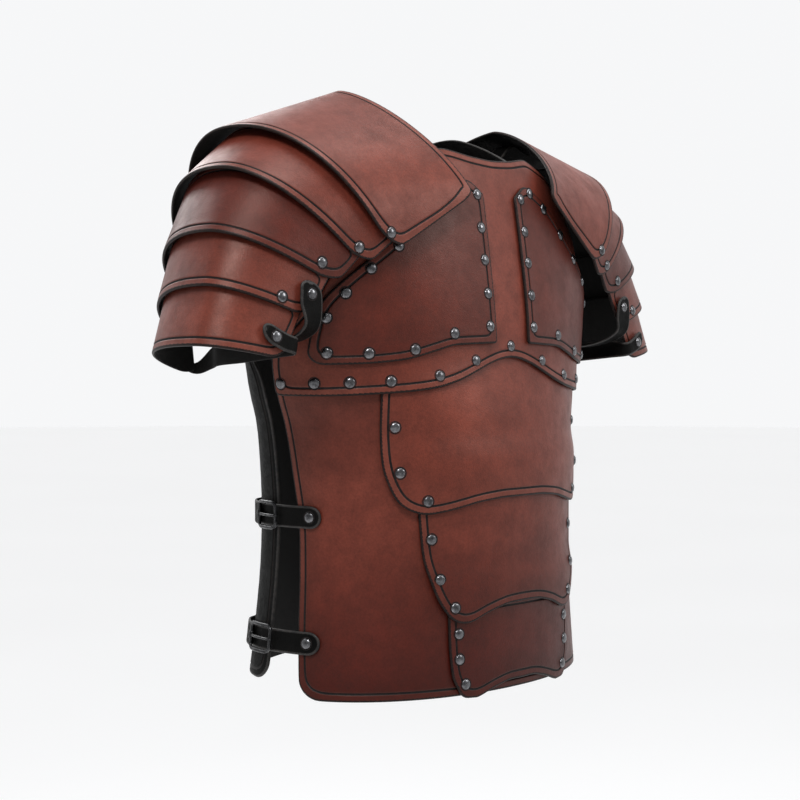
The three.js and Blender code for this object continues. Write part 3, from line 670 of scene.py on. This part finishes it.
def leather_material():
    """Chestnut top grain dyed in mottles: fine pores, satin finish, paler band along the edges."""
    s = Shader("leather")
    cloud = s.noise(9, 3, 0.55, 0.4)
    mottle = s.noise(46, 6, 0.68)
    fine = s.noise(420, 3, 0.6)
    base = s.ramp(cloud, (0.3, (0.1, 0.0196, 0.0118)), (0.7, (0.168, 0.037, 0.0228)))
    spots = s.ramp(mottle, (0.34, (0.5, 0.44, 0.42)), (0.6, (1.0, 1.0, 1.0)))
    base = s.mix(0.6, base, spots, "MULTIPLY")
    speck = s.ramp(fine, (0.35, (0.66, 0.64, 0.64)), (0.6, (1.0, 1.0, 1.0)))
    base = s.mix(0.5, base, speck, "MULTIPLY")
    inset = s.add("ShaderNodeAttribute", {"attribute_name": "inset"}).outputs["Fac"]
    border = s.remap(inset, INSET_REACH, 8.5, 0.0, 1.0)
    shaded = s.math("MULTIPLY", border, s.remap(cloud, 0.35, 0.6, 0.2, 1))
    base = s.mix(s.math("MULTIPLY", shaded, 0.3), base, (0.03, 0.0095, 0.007, 1))
    band = s.remap(inset, 7.2, 6.6, 0.0, 1.0)
    rubbed = s.math("MULTIPLY", band, s.remap(mottle, 0.3, 0.7, 0.35, 1))
    base = s.mix(s.math("MULTIPLY", rubbed, 0.16), base, (0.25, 0.085, 0.06, 1))
    # Painted shade: each point's shade value darkens the colour, per piece and towards the hem.
    painted_shade = s.add("ShaderNodeAttribute", {"attribute_name": "painted_shade"}).outputs["Fac"]
    depth = s.ramp(painted_shade, (0.3, (0.33, 0.13, 0.11)), (1.0, (1.0, 1.0, 1.0)))
    base = s.mix(1.0, base, depth, "MULTIPLY")
    pores = s.voronoi(820)
    creases = s.noise(150, 5, 0.7, 1.2)
    normal = s.bump(pores, 0.16, 0.0006)
    normal = s.bump(creases, 0.12, 0.0012, normal)
    normal = s.bump(s.noise(24, 3, 0.5), 0.16, 0.004, normal)
    rough = s.remap(mottle, 0.3, 0.7, 0.5, 0.36)
    return s.set(Base_Color=base, Roughness=rough, Normal=normal, Specular_IOR_Level=0.27,
                 Specular_Tint=(1.0, 0.78, 0.7, 1))


def edge_material():
    """Cut and burnished edge: dark brown, waxed."""
    s = Shader("burnished_edge")
    streak = s.noise(260, 4, 0.6)
    base = s.ramp(streak, (0.35, (0.003, 0.002, 0.0018)), (0.74, (0.018, 0.0075, 0.0055)))
    return s.set(Base_Color=base, Roughness=0.5, Normal=s.bump(streak, 0.2, 0.0005),
                 Specular_IOR_Level=0.16)


def groove_material():
    """Near-black bottom of the cut line; also the painted shadow in the rivets' pressed rings."""
    s = Shader("black_groove")
    flecks = s.noise(300, 3, 0.6)
    base = s.ramp(flecks, (0.4, (0.003, 0.002, 0.002)), (0.7, (0.012, 0.007, 0.006)))
    return s.set(Base_Color=base, Roughness=0.62, Normal=s.bump(flecks, 0.2, 0.0004),
                 Specular_IOR_Level=0.2)


def flesh_material():
    """Black dyed flesh side: fibrous and matt."""
    s = Shader("flesh_side")
    nap = s.noise(520, 6, 0.75, 0.8)
    cloud = s.noise(18, 3, 0.5)
    base = s.ramp(nap, (0.3, (0.0015, 0.0015, 0.0015)), (0.75, (0.007, 0.006, 0.0055)))
    base = s.mix(0.4, base, s.ramp(cloud, (0.3, grey(0.55)), (0.7, grey(1.0))), "MULTIPLY")
    return s.set(Base_Color=base, Roughness=0.82, Normal=s.bump(nap, 0.5, 0.0011),
                 Specular_IOR_Level=0.12, Sheen_Weight=0.02, Sheen_Roughness=0.5)


def black_leather_material():
    """Black top grain, with edges that are rubbed paler."""
    s = Shader("black_leather")
    cloud = s.noise(30, 4, 0.6)
    pores = s.voronoi(700)
    scuffs = s.noise(120, 6, 0.75, 1.0)
    base = s.ramp(cloud, (0.3, (0.0012, 0.0012, 0.0012)), (0.7, (0.0045, 0.0042, 0.0039)))
    inset = s.add("ShaderNodeAttribute", {"attribute_name": "inset"}).outputs["Fac"]
    worn = s.math("MULTIPLY", s.remap(inset, 2.6, 0.4, 0.0, 1.0), s.remap(scuffs, 0.4, 0.62, 0, 1))
    base = s.mix(s.math("MULTIPLY", worn, 0.5), base, (0.07, 0.062, 0.055, 1))
    normal = s.bump(pores, 0.22, 0.0007)
    normal = s.bump(scuffs, 0.14, 0.001, normal)
    rough = s.remap(scuffs, 0.35, 0.65, 0.46, 0.66)
    return s.set(Base_Color=base, Roughness=rough, Normal=normal, Specular_IOR_Level=0.05)


def black_edge_material():
    s = Shader("black_edge")
    streak = s.noise(240, 4, 0.65)
    base = s.ramp(streak, (0.35, (0.004, 0.004, 0.004)), (0.68, (0.024, 0.02, 0.018)))
    return s.set(Base_Color=base, Roughness=0.5, Normal=s.bump(streak, 0.25, 0.0005),
                 Specular_IOR_Level=0.3)


def metal_material(name, dark, light, low, high):
    """Metal with worn, brighter patches and fine scratches."""
    s = Shader(name)
    patches = s.noise(210, 5, 0.6)
    scratches = s.noise(900, 2, 0.7, 2.0)
    base = s.ramp(patches, (0.35, dark), (0.65, light))
    rough = s.remap(patches, 0.35, 0.65, high, low)
    normal = s.bump(scratches, 0.08, 0.0003)
    return s.set(Base_Color=base, Metallic=0.95, Roughness=rough, Normal=normal)


MATERIALS = {
    "leather": leather_material(),
    "groove": groove_material(),
    "edge": edge_material(),
    "flesh": flesh_material(),
    "black_leather": black_leather_material(),
    "black_edge": black_edge_material(),
    "rivet": metal_material("gunmetal", (0.045, 0.045, 0.048), (0.17, 0.17, 0.178), 0.18, 0.33),
    "buckle": metal_material("black_buckle", (0.012, 0.012, 0.013), (0.06, 0.06, 0.062), 0.22, 0.4),
}


# ---- camera, light and floor ----
CAMERA = {"place": (-1.2672, -1.1333, -0.2), "turn": 48.02, "tip": 1.37, "lens": 74.25}

# Softboxes: name, place, what it faces, size and power.
SOFTBOXES = [
    ("key", (-1.1, -0.7, 0.95), (-0.15, 0, -0.05), (0.6, 0.5), 21),
    ("top", (0.0, -0.35, 1.1), (0, 0, 0), (1.0, 0.6), 10),
    ("right", (0.75, -1.35, 0.6), (0, 0, -0.1), (0.5, 0.6), 8),
    ("rear", (0.3, 1.5, 0.9), (0, 0, -0.2), (1.2, 0.9), 16),
]

# A white studio: bright overhead and on the far wall, dimmer on the near side. The strength goes
# from the first to the second value between two degrees of facing the bright side.
BRIGHT_SIDE = (0.62, 0.56, 0.55)
STUDIO = {"From Min": -0.5, "From Max": 0.45, "To Min": 0.38, "To Max": 0.94}
FLOOR_RADIUS = 30
FLOOR_Z = -1.45
FLOOR_SIDES = 96


def make_camera():
    turn, tip = math.radians(CAMERA["turn"]), math.radians(CAMERA["tip"])
    data = bpy.data.cameras.new("camera")
    data.lens = CAMERA["lens"]
    data.sensor_width = 36
    camera = bpy.data.objects.new("camera", data)
    camera.location = CAMERA["place"]
    ahead = Vector((math.sin(turn) * math.cos(tip), math.cos(turn) * math.cos(tip), -math.sin(tip)))
    camera.rotation_euler = ahead.to_track_quat("-Z", "Y").to_euler()
    bpy.context.scene.collection.objects.link(camera)
    bpy.context.scene.camera = camera
    bpy.context.scene.view_settings.view_transform = "Standard"


def make_light():
    for name, place, target, size, power in SOFTBOXES:
        lamp = bpy.data.lights.new(name, "AREA")
        lamp.shape = "RECTANGLE"
        lamp.size, lamp.size_y = size
        lamp.energy = power
        light = bpy.data.objects.new(name, lamp)
        light.location = place
        aim = Vector(target) - Vector(place)
        light.rotation_euler = aim.to_track_quat("-Z", "Y").to_euler()
        bpy.context.scene.collection.objects.link(light)

    world = bpy.data.worlds.new("studio")
    bpy.context.scene.world = world
    world.use_nodes = True
    nodes, links = world.node_tree.nodes, world.node_tree.links
    place = nodes.new("ShaderNodeTexCoord")
    facing = nodes.new("ShaderNodeVectorMath")
    facing.operation = "DOT_PRODUCT"
    facing.inputs[1].default_value = BRIGHT_SIDE
    bright = nodes.new("ShaderNodeMapRange")
    for socket, value in STUDIO.items():
        bright.inputs[socket].default_value = value
    links.new(place.outputs["Generated"], facing.inputs[0])
    links.new(facing.outputs["Value"], bright.inputs["Value"])
    links.new(bright.outputs["Result"], nodes["Background"].inputs["Strength"])
    nodes["Background"].inputs["Color"].default_value = (0.985, 0.99, 1.0, 1)


def make_floor():
    turns = np.linspace(0, 2 * math.pi, FLOOR_SIDES, endpoint=False)
    points = [(FLOOR_RADIUS * math.cos(t), FLOOR_RADIUS * math.sin(t), FLOOR_Z) for t in turns]
    faces = [(i, (i + 1) % FLOOR_SIDES, FLOOR_SIDES) for i in range(FLOOR_SIDES)]
    mesh = bpy.data.meshes.new("floor")
    mesh.from_pydata([*points, (0, 0, FLOOR_Z)], [], faces)
    floor = bpy.data.objects.new("floor", mesh)
    bpy.context.scene.collection.objects.link(floor)
    s = Shader("pale_floor")
    tone = s.ramp(s.noise(0.6, 3), (0.3, (0.93, 0.93, 0.93)), (0.7, (0.95, 0.95, 0.95)))
    mesh.materials.append(s.set(Base_Color=tone, Roughness=0.85, Emission_Color=(1, 1, 1, 1),
                                Emission_Strength=0.13))


make_camera()
make_light()
make_floor()

# ---- body panels ----
# The chest panel's lower edge: level, rise in the middle, and how wide the rise is.
WAVE_LEVEL = -231
WAVE_PEAK = 33.5
WAVE_WIDTH = 68
WAVE_X = [0, 15, 32, 51, 72, 95, 120, 145]

# Above that edge: the rivets on it, and how far the panel and the plate below reach under it.
BAND_RIVET_RISE = 11
FRONT_TUCK = 34
PLATE_TUCK = 18

# Side edge of the front panel from the hem up: degrees from the middle, height, corner radius.
FRONT_SIDE = [
    (80.8, HEM_Z, 22), (82.8, -450, 60), (83.6, -405, 60), (84.7, -350, 60), (86.5, -308, 60),
    (88.2, -240, 40), (88.2, -205, 8),
]


def wave_at(x):
    return WAVE_LEVEL + WAVE_PEAK * math.exp(-((x / WAVE_WIDTH) ** 2))


def wave_corners(rise, xs=WAVE_X):
    return [(*flat_at(x, wave_at(x) + rise), 12) for x in xs]


def at(x, z, r, on_back=False):
    """A corner with radius r at a distance x from the middle plane."""
    return (*flat_at(x, z, on_back), r)


def body_panels():
    side = degrees_flat(CHEST_SIDE)
    chest = [
        *wave_corners(0), at(175, -232, 10), (side, -231, 5), (side, -185, 25), at(199, -150, 30),
        at(186, -110, 30), at(158, -60, 25), at(132, -16, 5), at(63, 1, 6), at(30, -4, 20),
        (0, -6, 0),
    ]
    band = [flat_at(x, wave_at(x) + BAND_RIVET_RISE) for x in HEM_BAND_RIVETS_X]
    band += [(-u, v) for u, v in band if u]
    formed("chest_panel", mirrored(chest), body, LAYER + SEAM, LAYER + SEAM + LEATHER, band,
           groove=GROOVE_INSET, rests_on=["shoulder_strap_left", "shoulder_strap_right"])
    front = [
        (0, HEM_Z, 0), *((degrees_flat(degrees), z, r) for degrees, z, r in FRONT_SIDE),
        *wave_corners(FRONT_TUCK, [145, 95, 51, 15]), (0, wave_at(0) + FRONT_TUCK, 0),
    ]
    formed("front_panel", mirrored(front), body, -LEATHER, 0, groove=GROOVE_INSET,
           rests_on=["chest_panel"])
    side = degrees_flat(BACK_SIDE)
    back = [
        (side, BACK_HEM_Z, 18), (side, -215, 12), at(197, -170, 30, True), at(184, -110, 30, True),
        at(158, -60, 25, True), at(132, -16, 5, True), at(63, 1, 6, True), at(30, -6, 20, True),
    ]
    whole = 2 * math.pi * FLAT_RADIUS
    back += [(whole - u, v, r) for u, v, r in reversed(back)]
    formed("back_panel", back, body, -LEATHER, 0, groove=GROOVE_INSET, look="black",
           rests_on=["shoulder_strap_left", "shoulder_strap_right"])


# Belly plates: corners of the left half, then the top edge as places across the wave or one height,
# the heights between which the plate rises over the next one, and rivets.
BELLY_PLATES = [
    ("upper", [
        (0, -331, 0), (30, -331, 15), (60, -334, 20), (85, -340, 15), (112, -345, 10),
        (132, -336, 14), (144, -300, 25), (146, -262, 20), (146, -213, 6),
    ], [95, 51, 15, 0], (-296, -266), [(135, -262), (131, -304), (109, -331)]),
    ("middle", [
        (0, -432, 0), (25, -433, 15), (50, -439, 20), (72, -449, 12), (90, -446, 10),
        (104, -420, 25), (113, -385, 30), (116, -340, 20), (116, -309, 8),
    ], -309, (-414, -384), [(105, -367), (99, -405), (86, -432)]),
    ("lower", [
        (0, -508, 0), (18, -507, 12), (40, -512, 18), (60, -519, 12), (78, -518, 12),
        (89, -498, 14), (91, -470, 20), (91, -428, 8),
    ], -428, None, [(81, -457), (81, -481), (75, -505)]),
]


def plates():
    lift = 2 * LAYER + SEAM
    formed("chest_plate", [at(*corner) for corner in PLATE_CORNERS], body, lift, lift + LEATHER,
           [flat_at(x, z) for x, z in PLATE_RIVETS], groove=GROOVE_INSET, sides=SIDES,
           rests_on=["chest_panel"])
    for name, corners, top, rise, heads in BELLY_PLATES:
        half = [at(*corner) for corner in corners]
        if isinstance(top, list):
            half += [at(x, wave_at(x) + PLATE_TUCK, 10 if x else 0) for x in top]
        else:
            half.append((0, top, 0))

        def low(u, z, rise=rise):
            over = LAYER * (1 - smooth(*rise, z)) if rise else 0 * z
            return SEAM + over

        def high(u, z, low=low):
            return low(u, z) + LEATHER

        spots = [flat_at(x, z) for x, z in heads]
        formed(f"belly_plate_{name}", mirrored(half), body, low, high,
               spots + [(-u, v) for u, v in spots], groove=GROOVE_INSET,
               rests_on=["front_panel"])


# ---- pauldrons ----
LAMES = {side: lame_surfaces(edge) for side, edge in NECK_EDGES.items()}


def lames():
    for side, surfaces in LAMES.items():
        for i, surface in enumerate(surfaces):
            length, width = LAME_LENGTHS[i], LAME_WIDTHS[i]
            tip, corner = LAME_TIPS[i], LAME_ROUNDS[i]
            corners = [(0, 0, corner), (length, 0, corner), (length, width, tip), (0, width, tip)]
            heads = LAME_RIVETS[i] + [(length - u, v) for u, v in LAME_RIVETS[i]]
            formed(f"lame_{i + 1}", corners, surface, -LEATHER, 0, heads, groove=GROOVE_INSET,
                   sides=[side], rests_on=[f"lame_{i}_SIDE" if i else "pauldron_hanger_SIDE"])


# ---- straps ----
# The shoulder strap's edges across, its length, the heights where it lies on the panels, its lift
# at the front and at the back, and its ridge over the shoulder.
SHOULDER = {"inner": 64, "outer": 128, "length": 250, "corner": 12, "rivet": 14}
SHOULDER_SEAM = {"bottom": -50, "middle": -32, "front_top": -14, "back_top": (5, -12)}
SHOULDER_LIFT = (-1.2, 1.6)
RIDGE = {"y": -10, "inner": 30, "outer": 7}
SHOULDER_WIDTH = SHOULDER["outer"] - SHOULDER["inner"]


def shoulder_surface():
    """From the chest over the shoulder's ridge to the back, v = 0 at the arm."""
    paths = []
    for share in np.linspace(0, 1, 9):
        x = SHOULDER["outer"] + (SHOULDER["inner"] - SHOULDER["outer"]) * share
        across = 1 - share
        behind = SHOULDER_SEAM["back_top"]
        top = behind[0] + (behind[1] - behind[0]) * across
        ridge = RIDGE["inner"] + (RIDGE["outer"] - RIDGE["inner"]) * across
        seams = SHOULDER_SEAM["bottom"], SHOULDER_SEAM["middle"], SHOULDER_SEAM["front_top"]
        front = [body(*flat_at(x, z)) for z in seams]
        back = [body(*flat_at(x, z, True)) for z in (top, *seams[1::-1])]
        paths.append(catmull_rom([*front, (x, RIDGE["y"], ridge), *back]))
    return woven(paths, SHOULDER["length"], SHOULDER_WIDTH)


SHOULDER_SURFACE = shoulder_surface()


def one(surface, u, v, lift):
    """One lifted point."""
    return lifted(surface, np.array([float(u)]), np.array([float(v)]), lift)[0]


def shoulder_straps():
    length, width, corner = SHOULDER["length"], SHOULDER_WIDTH, SHOULDER["corner"]
    inward = SHOULDER["rivet"]

    def low(u, v):
        start, end = SHOULDER_LIFT
        return start + (end - start) * smooth(0.35, 0.65, u / length)

    formed("shoulder_strap", rectangle(0, length, 0, width, corner), SHOULDER_SURFACE, low,
           lambda u, v: low(u, v) + STRAP_LEATHER,
           [(length - inward, inward), (length - inward, width - inward)], look="black",
           sides=SIDES, cell=8, rests_on=["back_panel"])


# Hanger: places across on the shoulder strap and along the top lame's inside that it passes.
HANGER = {"width": 30, "length": 92, "strap_x": (98, 110, 122), "lame_v": (96, 80, 64), "room": 1.2}


def strap(node, surface, start, end, middle, width, corner, rivets, inner=SEAM,
          outer=SEAM + STRAP_LEATHER, rests_on=(), sides=SIDES):
    corners = rectangle(start, end, middle - width / 2, middle + width / 2, corner)
    formed(node, corners, surface, inner, outer, rivets, look="black", sides=sides, cell=6,
           rests_on=rests_on, step=2.5)


def hangers():
    width, length = HANGER["width"], HANGER["length"]
    for side, (top_lame, *_) in LAMES.items():
        paths = []
        for across in (-width / 2, width / 2):
            on_strap = [
                one(SHOULDER_SURFACE, SHOULDER["length"] / 2 + across, SHOULDER["outer"] - x,
                    LAYER + HANGER["room"]) for x in HANGER["strap_x"]
            ]
            under = -LAYER - HANGER["room"] - STRAP_LEATHER
            on_lame = [
                one(top_lame, LAME_LENGTHS[0] / 2 + across, v, under) for v in HANGER["lame_v"]
            ]
            paths.append(catmull_rom(on_strap + on_lame))
        strap("pauldron_hanger", woven(paths, length, width), 0, length, width / 2, width, 5, [],
              inner=0, outer=STRAP_LEATHER, rests_on=["shoulder_strap_SIDE"], sides=[side])


# Arm straps: the tabs' middle lines on their lame, how they lean to each side, and the points under
# the arm in space, with half the width across.
TAB_LIFT = 2.7
TAB_RIVET = 13
TAB_ROUND = 10.6
ARM_STRAPS = [
    {
        "name": "upper", "lame": 3, "length": 320,
        "front": [(15, 39), (10, 28), (5, 14)], "front_lean": (9, -3.5),
        "under": [(239, -104, -166), (236.5, -96.5, -173), (233, -72, -181), (230, -25, -184),
                  (221, 25, -181), (203, 58, -177)],
        "across": (10, 0, 0),
        "rear": [(-4, 27), (7, 27), (20, 27), (33, 27)], "rear_lean": (0, -10),
    },
    {
        "name": "lower", "lame": 4, "length": 240,
        "front": [(34, 26), (20, 22), (7, 19), (-4, 18)], "front_lean": (-2, -10),
        "under": [(253, -80, -187), (247, -25, -192), (235, 25, -195), (221, 50, -198)],
        "across": (0, 0, -10),
        "rear": [(-4, 18), (7, 19), (20, 22), (34, 26)], "rear_lean": (0, -10),
    },
]


def arm_straps():
    for row in ARM_STRAPS:
        surface, end = LAMES["left"][row["lame"]], LAME_LENGTHS[row["lame"]]
        paths = []
        for share in (-1, 1):
            (fu, fv), (ru, rv) = row["front_lean"], row["rear_lean"]
            front = [one(surface, u + share * fu, v + share * fv, TAB_LIFT)
                     for u, v in row["front"]]
            rear = [one(surface, end - u + share * ru, v + share * rv, TAB_LIFT)
                    for u, v in row["rear"]]
            under = [np.array(p) + share * np.array(row["across"]) for p in row["under"]]
            paths.append(catmull_rom([*front, *under, *rear]))
        middle = STRAP_WIDTH / 2
        length = row["length"]
        strap(f"arm_strap_{row['name']}", woven(paths, length, STRAP_WIDTH), 0, length, middle,
              STRAP_WIDTH, TAB_ROUND, [(TAB_RIVET, middle), (length - TAB_RIVET, middle)], inner=0,
              outer=STRAP_LEATHER, rests_on=[f"lame_{row['lame'] + 1}_SIDE"])


# Side straps: name, height, and degrees of the tab end, rivet, buckle frame, tail and anchor.
SIDE_STRAPS = [
    ("upper", -347, 76.2, 80, (91.5, 102), 111, 128),
    ("lower", -464, 75, 79, (90.5, 101.5), 110.5, 127),
]

# Buckle: frame, the prong's rise and radius from its loop to its tip, and the loop round the bar.
FRAME = {"height": 28, "bar": 3.4, "lift": 5, "corner": 5, "rise": 1.5, "radius": 1.75}
PRONG_RISES = [1.5, 2.3, 2.5, 2.7, 3.3, 2.4]
PRONG_RADII = [1.8, 1.5, 1.4, 1.35, 1.25, 0.8]
LOOP = {"from": -3.2, "step": 0.8, "points": 9, "radius": 2.5}


def tube(path, radius, closed, squash=1.0, sides=10):
    """A round bar along a path of (point, normal) pairs."""
    points, faces = [], []
    spots = np.array([p for p, _ in path])
    ups = np.array([n for _, n in path])
    count = len(spots)
    for i in range(count):
        before = spots[i - 1] if closed or i else spots[i]
        after = spots[(i + 1) % count] if closed or i < count - 1 else spots[i]
        run = after - before
        run /= np.linalg.norm(run)
        side = np.cross(run, ups[i])
        side /= np.linalg.norm(side)
        up = np.cross(side, run)
        size = radius[i] if hasattr(radius, "__len__") else radius
        for k in range(sides):
            t = 2 * math.pi * k / sides
            points.append(spots[i] + size * (math.cos(t) * side + squash * math.sin(t) * up))
    for i in range(count if closed else count - 1):
        for k in range(sides):
            a, b = i * sides + k, i * sides + (k + 1) % sides
            j = (i + 1) % count * sides
            faces.append((a, b, j + (k + 1) % sides, j + k))
    if not closed:
        faces.append(tuple(range(sides))[::-1])
        faces.append(tuple(range((count - 1) * sides, count * sides)))
    return points, faces


def body_path(flat, lift):
    """Points and normals over the body for flat places."""
    u, v = np.array(flat, float).T
    low, high = lifted(body, u, v, lift), lifted(body, u, v, np.asarray(lift) + 1)
    return list(zip(low, high - low))


def buckles():
    over = FRAME["lift"] + FRAME["rise"]
    for name, z, _, _, (start, end), _, _ in SIDE_STRAPS:
        bar = FRAME["bar"] / 2
        x0, x1 = degrees_flat(start) + bar, degrees_flat(end) - bar
        y0, y1 = z - FRAME["height"] / 2 + bar, z + FRAME["height"] / 2 - bar
        ring = outline(rectangle(x0, x1, y0, y1, FRAME["corner"]), 2.0)
        points, faces = tube(body_path(ring, over), FRAME["radius"], True, 0.9)
        tip = [(x1, z), (x1 - 6, z), (x1 - 14, z), (x0 + 6, z), (x0 + 1, z), (x0 - 2.2, z)]
        lifts = np.array(PRONG_RISES) + FRAME["lift"]
        more, prong = tube(body_path(tip, lifts), PRONG_RADII, False)
        faces += [tuple(i + len(points) for i in face) for face in prong]
        points += more
        wrap = [(x1, z + LOOP["from"] + k * LOOP["step"]) for k in range(LOOP["points"])]
        more, loop = tube(body_path(wrap, over), LOOP["radius"], False)
        faces += [tuple(i + len(points) for i in face) for face in loop]
        points += more
        for side, sign in (("left", 1), ("right", -1)):
            flip = np.array([sign, 1, 1])
            turned = faces if sign > 0 else [face[::-1] for face in faces]
            piece = make_object(f"fine_buckle_{name}_{side}", np.array(points) * flip, turned,
                                [0] * len(faces), ["buckle"])
            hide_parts(f"buckle_{name}_{side}")


def side_straps():
    for name, z, tab, rivet, ring, tail, anchor in SIDE_STRAPS:
        strap(f"side_strap_{name}", body, degrees_flat(tab), degrees_flat(tail), z, STRAP_WIDTH,
              TAB_ROUND, [(degrees_flat(rivet), z)], rests_on=["front_panel", "back_panel"])
        end = degrees_flat(tail)

        def low(u, v, end=end):
            return SEAM + (STRAP_LEATHER + 0.6) * (1 - smooth(end + 3, end + 16, np.abs(u)))

        strap(f"buckle_strap_{name}", body, degrees_flat(ring[1]) + 0.3, degrees_flat(anchor), z,
              STRAP_WIDTH + 1, 4, [(degrees_flat(anchor - 3.5), z)], inner=low,
              outer=lambda u, v, low=low: low(u, v) + STRAP_LEATHER, rests_on=["back_panel"])


shoulder_straps()
hangers()
body_panels()
plates()
lames()
arm_straps()
side_straps()
buckles()
